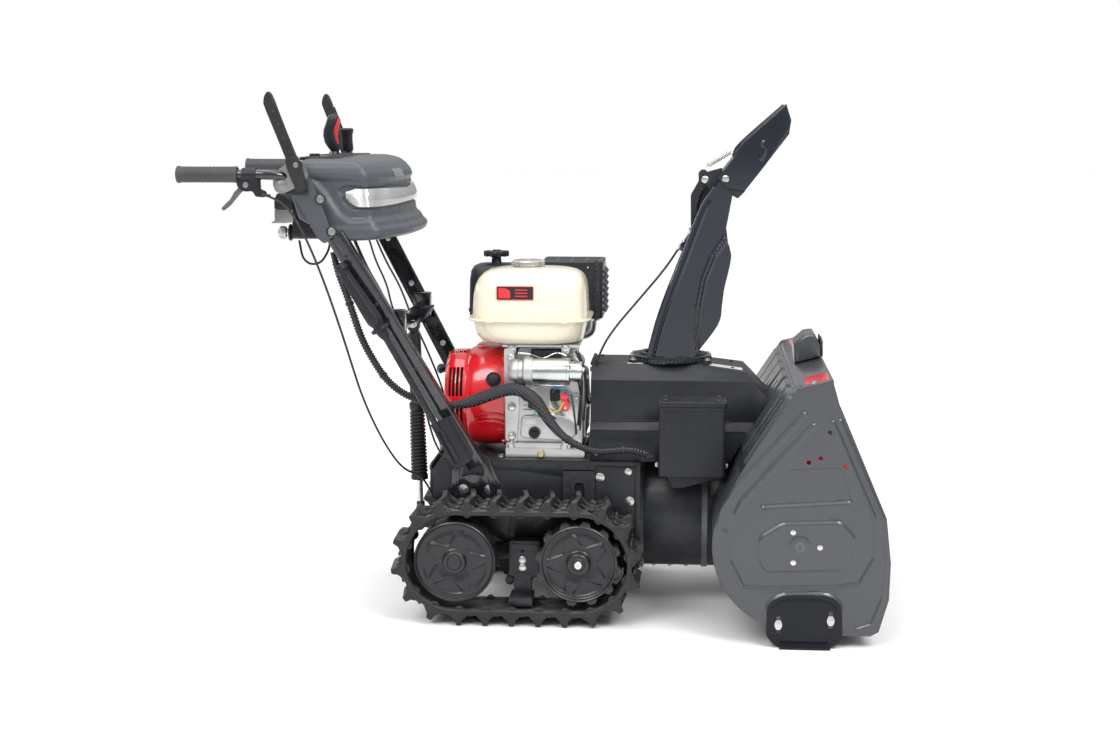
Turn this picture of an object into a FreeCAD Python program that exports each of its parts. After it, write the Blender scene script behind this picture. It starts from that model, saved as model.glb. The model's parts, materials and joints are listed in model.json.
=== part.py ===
"""Tracked two-stage snow blower, modelled as an assembly of separate pieces.

Millimetres.  +X points forward (auger end), +Y to the machine's left, +Z up.
The origin is on the ground under the middle of the machine.
"""
import FreeCAD
import Part
import math
import os

# ---------------------------------------------------------------- driving dimensions
SHEET = 3.0                    # wall of pressed steel and moulded covers
SHAFT_R = 12.5                 # main shafts
RUN = 0.05                     # radial running clearance of a shaft in its bore

HOUSING_HALF = 388.0           # outside of the auger housing side plates
PLATE = 4.0                    # side plate thickness
AUGER_X, AUGER_Z = 581.0, 221.0
AUGER_SHAFT_R = 14.0
HOUSING_R = 185.0              # curved back of the housing
FLIGHT_R = 166.0               # outside of the auger ribbons

DRUM_R = 140.0                 # impeller housing
DRUM_REAR_X = 233.0
IMPELLER_R = 130.0
CHUTE_X = 297.0                # vertical axis the chute turns about
NECK_R = 62.0
CHUTE_HALF = 72.0

FRAME_HALF = 150.0             # outside of the chassis box
FRAME_TOP = 351.0
FRAME_REAR = -240.0
COVER_X = 118.0                # rear of the belt cover
COVER_TOP = 566.0

TRACK_R = 120.0                # outside of the track band
TRACK_BAND = 12.0
LUG = 24.0
LUG_COUNT = 22
TRACK_Z = TRACK_R + LUG        # height of both wheel axles
DRIVE_X, IDLER_X = 101.0, -176.0
TRACK_IN, TRACK_OUT = 165.0, 285.0
WHEEL_R = 92.0

CRANK_Z = 472.0
PULLEY_X = 160.0
SMALL_PULLEY_R, LARGE_PULLEY_R = 42.0, 96.0
GROOVE = 10.0                  # depth of a pulley's belt groove
HANDLE_Y = 300.0               # grips and handle tubes
HANDLE_Z = 1003.0
GRIP_END = -772.0
TUBE_R = 11.0
GRIP_R = 17.0

BEAM_LOW = (-140.0, 166.0, 343.0)      # centre of a handle beam at its foot (left side)
BEAM_TOP = (-430.0, 263.0, 864.0)      # and at its upper end
BEAM_WIDTH, BEAM_DEPTH = 42.0, 20.0

LEVER_PIVOT = (-508.0, 1024.0)
TRIGGER_PIVOT = (-619.0, 982.0)
SHIFT_PIVOT = (-496.0, 930.0)
STICK_X, STICK_Y, STICK_Z = -466.0, 60.0, 1006.0
DEFLECTOR_PIVOT = (404.0, 986.0)
ARM_PIVOT = (372.0, 985.0)
STRUT_TOP = (-305.0, 640.0)
STRUT_LOW = (-293.0, 185.0)
THROTTLE_PIVOT = (62.0, 474.0)
TANK = (-159.0, 111.0, -140.0, 82.0, 613.0, 785.0)

nodes = {}


# ---------------------------------------------------------------- small helpers
def vec(x, y, z):
    return FreeCAD.Vector(x, y, z)


def keep(name, *solids):
    """Store one node: a single solid, or a group of separate solids."""
    nodes[name] = solids[0] if len(solids) == 1 else Part.makeCompound(list(solids))


def block(x0, x1, y0, y1, z0, z1):
    return Part.makeBox(x1 - x0, y1 - y0, z1 - z0, vec(x0, y0, z0))


def rod(start, end, radius):
    a, b = vec(*start), vec(*end)
    return Part.makeCylinder(radius, (b - a).Length, a, b - a)


def tube(start, end, outer, inner):
    return rod(start, end, outer).cut(rod(start, end, inner))


def join(*shapes):
    return shapes[0].multiFuse(list(shapes[1:])).removeSplitter()


def outline(path, place):
    """Closed wire: a point is a straight edge, ((mid), (end)) is an arc through mid."""
    edges = []
    here = path[0]
    for item in list(path[1:]) + [path[0]]:
        if isinstance(item[0], tuple):
            mid, end = item
            edges.append(Part.Arc(place(*here), place(*mid), place(*end)).toShape())
        else:
            end = item
            if (place(*end) - place(*here)).Length > 1e-6:
                edges.append(Part.LineSegment(place(*here), place(*end)).toShape())
        here = end
    return Part.Wire(edges)


def side_prism(path, y0, y1):
    """Outline in X and Z, running from y0 to y1."""
    wire = outline(path, lambda x, z: vec(x, y0, z))
    return Part.Face(wire).extrude(vec(0, y1 - y0, 0))


def cross_prism(path, x0, x1):
    """Outline in Y and Z, running from x0 to x1."""
    wire = outline(path, lambda y, z: vec(x0, y, z))
    return Part.Face(wire).extrude(vec(x1 - x0, 0, 0))


def plan_prism(path, z0, z1):
    """Outline in X and Y, running from z0 to z1."""
    wire = outline(path, lambda x, y: vec(x, y, z0))
    return Part.Face(wire).extrude(vec(0, 0, z1 - z0))


def soften(shape, radius, axis):
    """Round every straight edge that runs along one axis."""
    chosen = []
    for edge in shape.Edges:
        if len(edge.Vertexes) == 2 and isinstance(edge.Curve, Part.Line):
            along = edge.Vertexes[1].Point - edge.Vertexes[0].Point
            if abs(along.normalize().dot(vec(*axis))) > 0.999:
                chosen.append(edge)
    return shape.makeFillet(radius, chosen)


def mirrored(shape):
    return shape.mirror(vec(0, 0, 0), vec(0, 1, 0))


def turned(shape, centre, axis, degrees):
    copy = shape.copy()
    copy.rotate(vec(*centre), vec(*axis), degrees)
    return copy


def arc_point(x, z, radius, degrees):
    angle = math.radians(degrees)
    return (x + radius * math.cos(angle), z + radius * math.sin(angle))


def bar_between(start, end, width, depth, lower=0.0, upper=0.0):
    """Rectangular bar; width lies in the X-Z plane, depth along Y.  lower and upper lengthen it."""
    a, b = vec(*start), vec(*end)
    along = (b - a).normalize()
    across = vec(0, 1, 0).cross(along).normalize()
    side = along.cross(across)
    a = a - along * lower
    corners = [a + across * (i * width / 2) + side * (j * depth / 2)
               for i, j in ((-1, -1), (1, -1), (1, 1), (-1, 1), (-1, -1))]
    face = Part.Face(Part.makePolygon(corners))
    return face.extrude(along * ((b - a).Length + upper))


def cable(name, route, radius):
    """Round cable: straight runs joined by tangent arcs as large as the runs allow."""
    points = [vec(*p) for p in route]
    edges = []
    here = points[0]
    radii = []
    for before, corner, after in zip(points, points[1:], points[2:]):
        run_in, run_out = corner - before, after - corner
        back = 0.45 * min(run_in.Length, run_out.Length)
        d_in, d_out = vec(*run_in).normalize(), vec(*run_out).normalize()
        half = d_in.getAngle(d_out) / 2
        bend = back / math.tan(half)
        radii.append(bend)
        first, last = corner - d_in * back, corner + d_out * back
        middle = corner + (d_out - d_in).normalize() * (bend / math.cos(half) - bend)
        edges.append(Part.LineSegment(here, first).toShape())
        edges.append(Part.Arc(first, middle, last).toShape())
        here = last
    edges.append(Part.LineSegment(here, points[-1]).toShape())
    path = Part.Wire(edges)
    ring = Part.Wire([Part.makeCircle(radius, points[0], points[1] - points[0])])
    solid = path.makePipeShell([ring], True, False)
    expected = math.pi * radius ** 2 * path.Length
    print(name, "length %.0f" % path.Length, "least radius %.0f" % min(radii),
          "volume ratio %.4f" % (solid.Volume / expected))
    return solid


# ---------------------------------------------------------------- chassis box
def frame_outline(inset):
    """Side view of the chassis box; the bottom is open."""
    low = 40.0 if inset else 0.0
    return [(FRAME_REAR + 15 + inset, FRAME_TOP - inset), (DRUM_REAR_X - inset, FRAME_TOP - inset),
            (DRUM_REAR_X - inset, 105 - low), (30, 105 - low), (-60 + inset, 150 - low),
            (-200 + inset, 235 - low), (FRAME_REAR - 5 + inset, 262 - low / 4),
            (FRAME_REAR - 8 + inset, 320)]


def make_frame():
    tub = side_prism(frame_outline(0), -FRAME_HALF, FRAME_HALF)
    tub = tub.cut(side_prism(frame_outline(4.0), -FRAME_HALF + 4, FRAME_HALF - 4))
    top_gap = block(COVER_X, DRUM_REAR_X - 4, -FRAME_HALF + 4, FRAME_HALF - 4, 300, 400)
    tub = tub.cut(top_gap)
    tub = tub.cut(rod((DRIVE_X, -200, TRACK_Z), (DRIVE_X, 200, TRACK_Z), SHAFT_R + RUN))
    tub = tub.cut(rod((200, 0, AUGER_Z), (240, 0, AUGER_Z), 20))
    for side in (-1, 1):
        slot = soften(block(88, 106, -8, 8, 285, 312), 8.9, (0, 1, 0))
        slot.translate(vec(0, side * FRAME_HALF, 0))
        tub = tub.cut(slot)
    keep("chassis_frame", tub)

    case = soften(block(-60, 124, -80, 80, 112, 300), 14, (0, 1, 0))
    socket = rod((DRIVE_X, -200, TRACK_Z), (DRIVE_X, -50, TRACK_Z), SHAFT_R + RUN)
    case = case.cut(socket).cut(mirrored(socket))
    top_mount = block(-40, 100, -60, 60, 300, FRAME_TOP - 4)
    keep("transmission_case", join(case, top_mount))


# ---------------------------------------------------------------- tracks and wheels
def stadium(radius, y0, y1):
    path = [(IDLER_X, TRACK_Z + radius), (DRIVE_X, TRACK_Z + radius),
            ((DRIVE_X + radius, TRACK_Z), (DRIVE_X, TRACK_Z - radius)),
            (IDLER_X, TRACK_Z - radius),
            ((IDLER_X - radius, TRACK_Z), (IDLER_X, TRACK_Z + radius))]
    return side_prism(path, y0, y1)


def track_place(distance):
    """Point on the outside of the band and the outward direction, at a distance along it."""
    straight = DRIVE_X - IDLER_X
    curve = math.pi * TRACK_R
    distance = distance % (2 * straight + 2 * curve)
    if distance < straight:
        return (DRIVE_X - distance, TRACK_Z - TRACK_R), -90.0
    distance -= straight
    if distance < curve:
        angle = 270.0 - math.degrees(distance / TRACK_R)
        return arc_point(IDLER_X, TRACK_Z, TRACK_R, angle), angle
    distance -= curve
    if distance < straight:
        return (IDLER_X + distance, TRACK_Z + TRACK_R), 90.0
    angle = 90.0 - math.degrees((distance - straight) / TRACK_R)
    return arc_point(DRIVE_X, TRACK_Z, TRACK_R, angle), angle


def make_track():
    band = stadium(TRACK_R, TRACK_IN, TRACK_OUT).cut(stadium(TRACK_R - TRACK_BAND, TRACK_IN, TRACK_OUT))
    pitch = (2 * (DRIVE_X - IDLER_X) + 2 * math.pi * TRACK_R) / LUG_COUNT
    lugs = []
    for i in range(LUG_COUNT):
        (x, z), angle = track_place(pitch * (i + 0.5))
        lug = side_prism([(-4, -11), (LUG * 0.55, -8), (LUG, -7), (LUG, 7), (LUG * 0.55, 8), (-4, 11)],
                         TRACK_IN, TRACK_OUT)
        lug = turned(lug, (0, 0, 0), (0, 1, 0), -angle)
        lug.translate(vec(x, 0, z))
        lugs.append(lug)
    track = join(band, *lugs)
    keep("tracks", track, mirrored(track))


def make_wheels():
    y0, y1 = 212.0, 280.0
    disc = rod((0, y0, TRACK_Z), (0, y1, TRACK_Z), WHEEL_R - 4)
    dish = rod((0, y1 - 12, TRACK_Z), (0, y1 + 1, TRACK_Z), WHEEL_R - 20)
    dish = dish.cut(rod((0, y1 - 12, TRACK_Z), (0, y1 + 1, TRACK_Z), 26))
    body = disc.cut(dish)
    teeth = []
    for i in range(12):
        tooth = side_prism([(-9, WHEEL_R - 8), (9, WHEEL_R - 8), (6, WHEEL_R + 6), (-6, WHEEL_R + 6)],
                           240, 262)
        tooth.translate(vec(0, 0, TRACK_Z))
        teeth.append(turned(tooth, (0, 0, TRACK_Z), (0, 1, 0), 30.0 * i))
    sprocket = join(body, *teeth)
    axle = rod((0, 54, TRACK_Z), (0, y0, TRACK_Z), SHAFT_R)
    end = rod((0, y1, TRACK_Z), (0, y1 + 6, TRACK_Z), 9)
    drive = join(sprocket, axle, end)
    drive.translate(vec(DRIVE_X, 0, 0))
    rim = rod((0, y0, TRACK_Z), (0, y1, TRACK_Z), WHEEL_R).cut(dish)
    idler = rim.cut(rod((0, 0, TRACK_Z), (0, y1 - 4, TRACK_Z), SHAFT_R + RUN))
    idler.translate(vec(IDLER_X, 0, 0))
    keep("drive_wheel_left", drive)
    keep("drive_wheel_right", mirrored(drive))
    keep("idler_wheel_left", idler)
    keep("idler_wheel_right", mirrored(idler))


def make_track_frame():
    parts = [rod((IDLER_X, -274, TRACK_Z), (IDLER_X, 274, TRACK_Z), SHAFT_R),
             rod((-60, -200, 84), (-60, 200, 84), 10)]
    for side in (-1, 1):
        arm = block(IDLER_X, DRIVE_X, 154, 162, 124, 164)
        arm = join(arm, rod((DRIVE_X, 154, TRACK_Z), (DRIVE_X, 162, TRACK_Z), 24),
                   rod((IDLER_X, 154, TRACK_Z), (IDLER_X, 162, TRACK_Z), 24))
        arm = arm.cut(rod((DRIVE_X, 100, TRACK_Z), (DRIVE_X, 200, TRACK_Z), SHAFT_R + RUN))
        bracket = join(block(-57, 7, 162, 205, 100, 176), block(-50, -9, 196, 206, 60, 100),
                       block(-62, 12, 162, 168, 84, 130), block(-50, -9, 152, 206, 82, 102))
        shoe = block(-56, -4, 190, 260, 41, 60)
        arm = join(arm, bracket, shoe)
        parts.append(arm if side > 0 else mirrored(arm))
    low_x, low_z = STRUT_LOW
    for side in (-1, 1):
        ear = side_prism([(IDLER_X, TRACK_Z - 12), (IDLER_X, TRACK_Z + 12), (low_x + 6, low_z + 9),
                          (low_x - 9, low_z + 9), (low_x - 9, low_z - 9), (low_x + 10, low_z - 12)], 11, 16)
        parts.append(ear if side > 0 else mirrored(ear))
    parts.append(rod((low_x, -16, low_z), (low_x, 16, low_z), 4.5))
    keep("track_frame", join(*parts))


def make_strut():
    (top_x, top_z), (low_x, low_z) = STRUT_TOP, STRUT_LOW
    lean = (low_x - top_x) / (low_z - top_z)

    def at(z):
        return (top_x + (z - top_z) * lean, 0, z)

    barrel = tube(at(622), at(430), 14, 10)
    cap = rod(at(622), at(618), 14)
    eye = rod((top_x, -9, top_z), (top_x, 9, top_z), 13)
    head = join(barrel, cap, eye, rod(at(636), at(618), 8))
    head = head.cut(rod((top_x, -20, top_z), (top_x, 20, top_z), 5 + RUN))
    keep("strut_cylinder", head)
    ring = rod((low_x, -8, low_z), (low_x, 8, low_z), 17)
    shaft = rod(at(500), at(low_z + 13), 7)
    piston = rod(at(520), at(500), 9.6)
    eye_hole = rod((low_x, -20, low_z), (low_x, 20, low_z), 11)
    keep("strut_rod", join(ring, shaft, piston).cut(eye_hole))
    boot = tube(at(456), at(275), 21, 15)
    keep("strut_boot", boot)


# ---------------------------------------------------------------- snow end
def wrap_outline(inset):
    r = HOUSING_R - inset
    front = 800.0 if inset else 716.0
    low = arc_point(AUGER_X, AUGER_Z, r, 270)
    rear = arc_point(AUGER_X, AUGER_Z, r, 144)
    return [(642 + (front - 716) * 2, 580 - inset), (642, 580 - inset), (572 + inset * 0.6, 562 - inset),
            (483 + inset, 426 - inset * 0.4), (448 + inset, 367 - inset * 0.4), rear,
            (arc_point(AUGER_X, AUGER_Z, r, 200), low), (front, low[1])]


def make_auger_housing():
    half = HOUSING_HALF - PLATE
    solid = side_prism(wrap_outline(0), -half, half)
    hollow = side_prism(wrap_outline(SHEET), -half - 1, half + 1)
    wrap = solid.cut(hollow)
    drum_hole = rod((330, 0, AUGER_Z), (AUGER_X - 60, 0, AUGER_Z), DRUM_R - SHEET)
    keep("auger_housing", wrap.cut(drum_hole))

    plate_path = [(572, 562), (642, 580), (656, 529), (661, 518), (761, 285), (772, 190),
                  (770, 109), (750, 38), (734, 29), (600, 29), (AUGER_X, AUGER_Z - HOUSING_R),
                  (arc_point(AUGER_X, AUGER_Z, HOUSING_R, 200), arc_point(AUGER_X, AUGER_Z, HOUSING_R, 144)),
                  (448, 367), (483, 426)]
    plate = side_prism(plate_path, half, HOUSING_HALF)
    plate = plate.cut(rod((AUGER_X, 300, AUGER_Z), (AUGER_X, 500, AUGER_Z), AUGER_SHAFT_R + RUN))
    for x, z in ((639, 469), (621, 413), (596, 404), (672, 396)):
        plate = plate.cut(rod((x, 300, z), (x, 500, z), 5))
    keep("side_plates", plate, mirrored(plate))

    keep("scraper_bar", block(655, 742, -half, half, 28, AUGER_Z - HOUSING_R))

    upright = side_prism([(513, 48), (553, 0), (645, 0), (672, 40), (672, 96), (655, 100), (640, 119),
                          (548, 119), (533, 100), (513, 96)], HOUSING_HALF, HOUSING_HALF + 5)
    for x, z in ((538, 51), (649, 62)):
        upright = upright.cut(block(x - 4.5, x + 4.5, 380, 400, z - 22, z + 22))
    sole = block(553, 645, HOUSING_HALF + 5, HOUSING_HALF + 20, 0, 6)
    skid = join(upright, sole)
    keep("skid_shoes", skid, mirrored(skid))

    lamp = side_prism([(580, 564.1), (577, 612), (604, 636), (624, 638.6), (641, 608), (641, 579.8)], -50, 50)
    pocket = side_prism([(640, 586), (650, 586), (650, 632), (627, 626)], -42, 42)
    keep("work_lamp", lamp.cut(pocket))
    window = side_prism([(636, 586), (643, 586), (643, 632), (623, 626)], -41.8, 41.8)
    keep("work_lamp_lens", lamp.common(window)
         .common(pocket))


def make_augers():
    shaft = rod((AUGER_X, -HOUSING_HALF - 5, AUGER_Z), (AUGER_X, HOUSING_HALF + 5, AUGER_Z), AUGER_SHAFT_R)
    keep("auger_shaft", shaft)
    case = soften(block(545, 617, -32, 32, 183, 259), 12, (0, 1, 0))
    case = case.cut(rod((AUGER_X, -100, AUGER_Z), (AUGER_X, 100, AUGER_Z), AUGER_SHAFT_R + RUN))
    case = case.cut(rod((500, 0, AUGER_Z), (562, 0, AUGER_Z), SHAFT_R + RUN))
    keep("auger_gearbox", case)

    pitch, start, end = 232.0, 48.0, 372.0
    width, thick = 44.0, 4.0
    helix = Part.makeHelix(pitch, end - start, FLIGHT_R - width / 2)
    corners = [vec(FLIGHT_R - width, 0, -thick / 2), vec(FLIGHT_R, 0, -thick / 2),
               vec(FLIGHT_R, 0, thick / 2), vec(FLIGHT_R - width, 0, thick / 2)]
    profile = Part.makePolygon(corners + [corners[0]])
    ribbon = Part.Wire(helix.Edges).makePipeShell([profile], True, True)
    arms = []
    for share in (0.04, 0.35, 0.65, 0.96):
        z = (end - start) * share
        arm = block(AUGER_SHAFT_R, FLIGHT_R - 20, -9, 9, z - 3, z + 3)
        arms.append(turned(arm, (0, 0, z), (0, 0, 1), 360.0 * z / pitch))
    sleeve = tube((0, 0, 0), (0, 0, end - start), AUGER_SHAFT_R + 5, AUGER_SHAFT_R)
    flight = join(sleeve, ribbon, *arms).cut(rod((0, 0, -50), (0, 0, 400), AUGER_SHAFT_R))
    flight.rotate(vec(0, 0, 0), vec(1, 0, 0), -90)
    flight.translate(vec(AUGER_X, start, AUGER_Z))
    keep("auger_flights", flight, mirrored(flight))


def make_impeller():
    drum = rod((DRUM_REAR_X, 0, AUGER_Z), (AUGER_X - 50, 0, AUGER_Z), DRUM_R)
    neck = rod((CHUTE_X, 0, AUGER_Z + 60), (CHUTE_X, 0, COVER_TOP - 3), NECK_R)
    shell = join(drum, neck)
    inside = rod((DRUM_REAR_X + SHEET, 0, AUGER_Z), (AUGER_X, 0, AUGER_Z), DRUM_R - SHEET)
    inside = join(inside, rod((CHUTE_X, 0, AUGER_Z), (CHUTE_X, 0, COVER_TOP + 9), NECK_R - SHEET))
    shell = shell.cut(inside)
    shell = shell.cut(side_prism(wrap_outline(0), -HOUSING_HALF, HOUSING_HALF))
    shell = shell.cut(rod((200, 0, AUGER_Z), (260, 0, AUGER_Z), SHAFT_R + RUN))
    keep("impeller_housing", shell)

    hub = tube((262, 0, AUGER_Z), (376, 0, AUGER_Z), 25, SHAFT_R)
    disc = tube((262, 0, AUGER_Z), (267, 0, AUGER_Z), IMPELLER_R - 12, SHAFT_R)
    blades = [hub, disc]
    for i in range(4):
        tip = block(266, 372, 3, 15, IMPELLER_R - 9, IMPELLER_R - 4)
        blade = join(block(266, 372, -3, 3, 20, IMPELLER_R), tip)
        blade.translate(vec(0, 0, AUGER_Z))
        blades.append(turned(blade, (0, 0, AUGER_Z), (1, 0, 0), 90.0 * i + 20))
    shaft = rod((136, 0, AUGER_Z), (560, 0, AUGER_Z), SHAFT_R)
    keep("impeller", join(shaft, pulley(AUGER_Z, LARGE_PULLEY_R), *blades))
    flywheel = rod((-140, 0, CRANK_Z), (-104, 0, CRANK_Z), 94)
    webs = [rod((x, 0, CRANK_Z), (x + 14, 0, CRANK_Z), 46) for x in (-26, 24)]
    shaft = rod((-150, 0, CRANK_Z), (180, 0, CRANK_Z), SHAFT_R)
    keep("crankshaft", join(shaft, flywheel, pulley(CRANK_Z, SMALL_PULLEY_R), *webs))


def pulley(z, radius):
    """Grooved wheel on a shaft that runs along X."""
    wheel = rod((PULLEY_X - 12, 0, z), (PULLEY_X + 12, 0, z), radius)
    return wheel.cut(tube((PULLEY_X - 5, 0, z), (PULLEY_X + 5, 0, z), radius + 1, radius - GROOVE))


def make_belt():
    """Belt loop round both pulleys, with running clearance."""
    small, large = SMALL_PULLEY_R - GROOVE + 1, LARGE_PULLEY_R - GROOVE + 1
    span = CRANK_Z - AUGER_Z
    slant = math.asin((large - small) / span)

    def loop(extra):
        r0, r1 = small + extra, large + extra
        up = vec(0, math.cos(slant), math.sin(slant))
        a = (r0 * up.y, CRANK_Z + r0 * up.z)
        b = (r1 * up.y, AUGER_Z + r1 * up.z)
        path = [(-a[0], a[1]), ((0, CRANK_Z + r0), a), b, ((0, AUGER_Z - r1), (-b[0], b[1]))]
        return cross_prism(path, PULLEY_X - 4.5, PULLEY_X + 4.5)

    keep("drive_belt", loop(8).cut(loop(0)))


def make_belt_cover():
    def shape(inset):
        half = FRAME_HALF - inset
        top = COVER_TOP - inset
        low = 353.0 if inset == 0 else 300.0
        side = [(COVER_X + inset, low), (COVER_X + inset, top), (365, top), (467 - inset, 552 - inset),
                (521 - inset * 1.4, 492 - inset), (478 - inset, 427), (443 - inset, 368), (436 - inset, low)]
        cross = [(half, low), (half, 424), (126 - inset, 442), (110 - inset, 533 - inset / 2), (76, top),
                 (-76, top), (-110 + inset, 533 - inset / 2), (-126 + inset, 442), (-half, 424), (-half, low)]
        return side_prism(side, -FRAME_HALF, FRAME_HALF).common(cross_prism(cross, 100, 560))

    cover = shape(0).cut(shape(SHEET))
    cover = cover.cut(rod((CHUTE_X, 0, 400), (CHUTE_X, 0, 600), NECK_R + 1))
    cover = cover.cut(rod((100, 0, CRANK_Z), (140, 0, CRANK_Z), 30))
    cover = cover.cut(rod((DRUM_REAR_X, 0, AUGER_Z), (500, 0, AUGER_Z), DRUM_R + 0.5))
    keep("belt_cover", cover)

    box = soften(block(276, 422, -240, -152, 338, 500), 5, (0, 0, 1))
    foot = side_prism([(290, 338), (418, 338), (418, 330), (330, 306), (306, 306)], -200, -156)
    hollow = block(279, 419, -237, -155, 341, 501)
    lid = soften(block(273, 425, -243, -151, 500, 506), 5, (0, 0, 1))
    keep("battery_box", join(box.cut(hollow), foot), lid)
    keep("battery", block(284, 414, -232, -160, 341, 486))


# ---------------------------------------------------------------- engine
def make_engine():
    base = block(-75, 105, -130, 75, FRAME_TOP, 363)
    case = soften(block(-66, 98, -112, 62, 363, 548), 16, (1, 0, 0))
    cylinder = soften(block(-60, 76, 20, 178, 430, 560), 10, (0, 1, 0))
    cylinder = turned(cylinder, (0, 0, CRANK_Z), (1, 0, 0), 14)
    engine = join(base, case, cylinder)
    engine = engine.cut(rod((-40, 0, CRANK_Z), (72, 0, CRANK_Z), 54))
    engine = engine.cut(rod((-100, 0, CRANK_Z), (120, 0, CRANK_Z), SHAFT_R + RUN))
    for side in (-90, 50):
        engine = engine.cut(rod((86, side, 330), (86, side, 380), 5))
    legs = [block(x, x + 14, y, y + 10, 540, 607) for x in (-56, 70) for y in (-96, 30)]
    rack = block(-80, 90, -110, 60, 607, 612.5)
    px, pz = THROTTLE_PIVOT
    plate = block(28, 92, -116, -112, 420, 500)
    pin = rod((px, -150, pz), (px, -116, pz), 4)
    keep("engine_block", join(engine, rack, plate, pin, *legs))

    fan_z, fan_r = 480.0, 116.0
    fan = join(rod((-170, 0, fan_z), (-66, 0, fan_z), fan_r), block(-160, -66, 0, 150, 478, 596))
    inner = join(rod((-167, 0, fan_z), (-60, 0, fan_z), fan_r - SHEET), block(-157, -60, 0, 147, 481, 593))
    fan = fan.cut(inner).cut(rod((-180, 0, fan_z), (-150, 0, fan_z), 70))
    keep("fan_cover", fan)

    recoil = rod((-223, 0, fan_z), (-170, 0, fan_z), 108)
    recoil = recoil.makeFillet(12, [e for e in recoil.Edges if e.BoundBox.XMax < -220])
    recoil = recoil.cut(rod((-220, 0, fan_z), (-160, 0, fan_z), 105))
    for i in range(12):
        slot = block(-212, -180, -6, 6, 80, 130)
        slot.translate(vec(0, 0, fan_z))
        recoil = recoil.cut(turned(slot, (0, 0, fan_z), (1, 0, 0), 30.0 * i + 15))
    rope_guide = tube((-226, 75, 528), (-218, 75, 528), 14, 5)
    recoil = recoil.cut(rod((-240, 75, 528), (-200, 75, 528), 14))
    keep("recoil_cover", join(recoil, rope_guide))

    x0, x1, y0, y1, z0, z1 = TANK
    tank = soften(soften(block(*TANK), 34, (0, 0, 1)), 26, (0, 1, 0))
    seam = soften(block(x0 - 7, x1 + 7, y0 - 7, y1 + 7, 664, 672), 38, (0, 0, 1))
    neck = rod((-33, -20, z1 - 1), (-33, -20, z1 + 5), 28)
    keep("fuel_tank", join(tank, seam, neck))
    cap = rod((-33, -20, z1 + 5.5), (-33, -20, z1 + 14), 39)
    keep("fuel_cap", join(cap, tube((-33, -20, z1 + 0.6), (-33, -20, z1 + 5.5), 39, 29)))

    air = soften(soften(block(-189, -28, 96, 205, 642, 776), 16, (0, 0, 1)), 10, (0, 1, 0))
    air = join(air, rod((-126, 150, 770), (-126, 150, 790), 12), rod((-126, 150, 790), (-126, 150, 805), 28))
    carburettor = join(block(-112, -62, 98, 146, 604, 642), rod((-62, 122, 622), (-46, 122, 622), 12))
    keep("air_cleaner", air, carburettor)

    body = soften(soften(block(-14, 134, 100, 240, 647, 786), 12, (0, 0, 1)), 8, (0, 1, 0))
    pipe = join(rod((104, 150, 600), (104, 150, 647), 14), rod((60, 150, 606), (104, 150, 606), 14),
                rod((104, 150, 606), (104, 150, 607), 14))
    keep("muffler", join(body, pipe).cut(nodes["engine_block"]))

    motor = rod((-66, -146, 557), (70, -146, 557), 31)
    nose = rod((70, -146, 557), (104, -146, 557), 25)
    foot = block(-10, 60, -122, -112, 500, 548)
    keep("starter_motor", join(motor, nose, foot))

    arm = side_prism([(px - 9, pz - 9), (px + 9, pz - 9), (px + 8, pz + 10), (px + 2, pz + 32), (px - 8, pz + 32)],
                     -146, -142)
    keep("throttle_lever", arm.cut(rod((px, -160, pz), (px, -100, pz), 4 + RUN)))

    handle = soften(block(-262, -244, 45, 105, 516, 540), 6, (0, 1, 0))
    keep("recoil_handle", join(handle, rod((-244, 75, 528), (-227, 75, 528), 9)))


# ---------------------------------------------------------------- chute
def chute_back(inset):
    return [(262 + inset, 645), (285 + inset, 714), (318 + inset, 800), (362 + inset, 918), (394 + inset, 970)]


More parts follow.
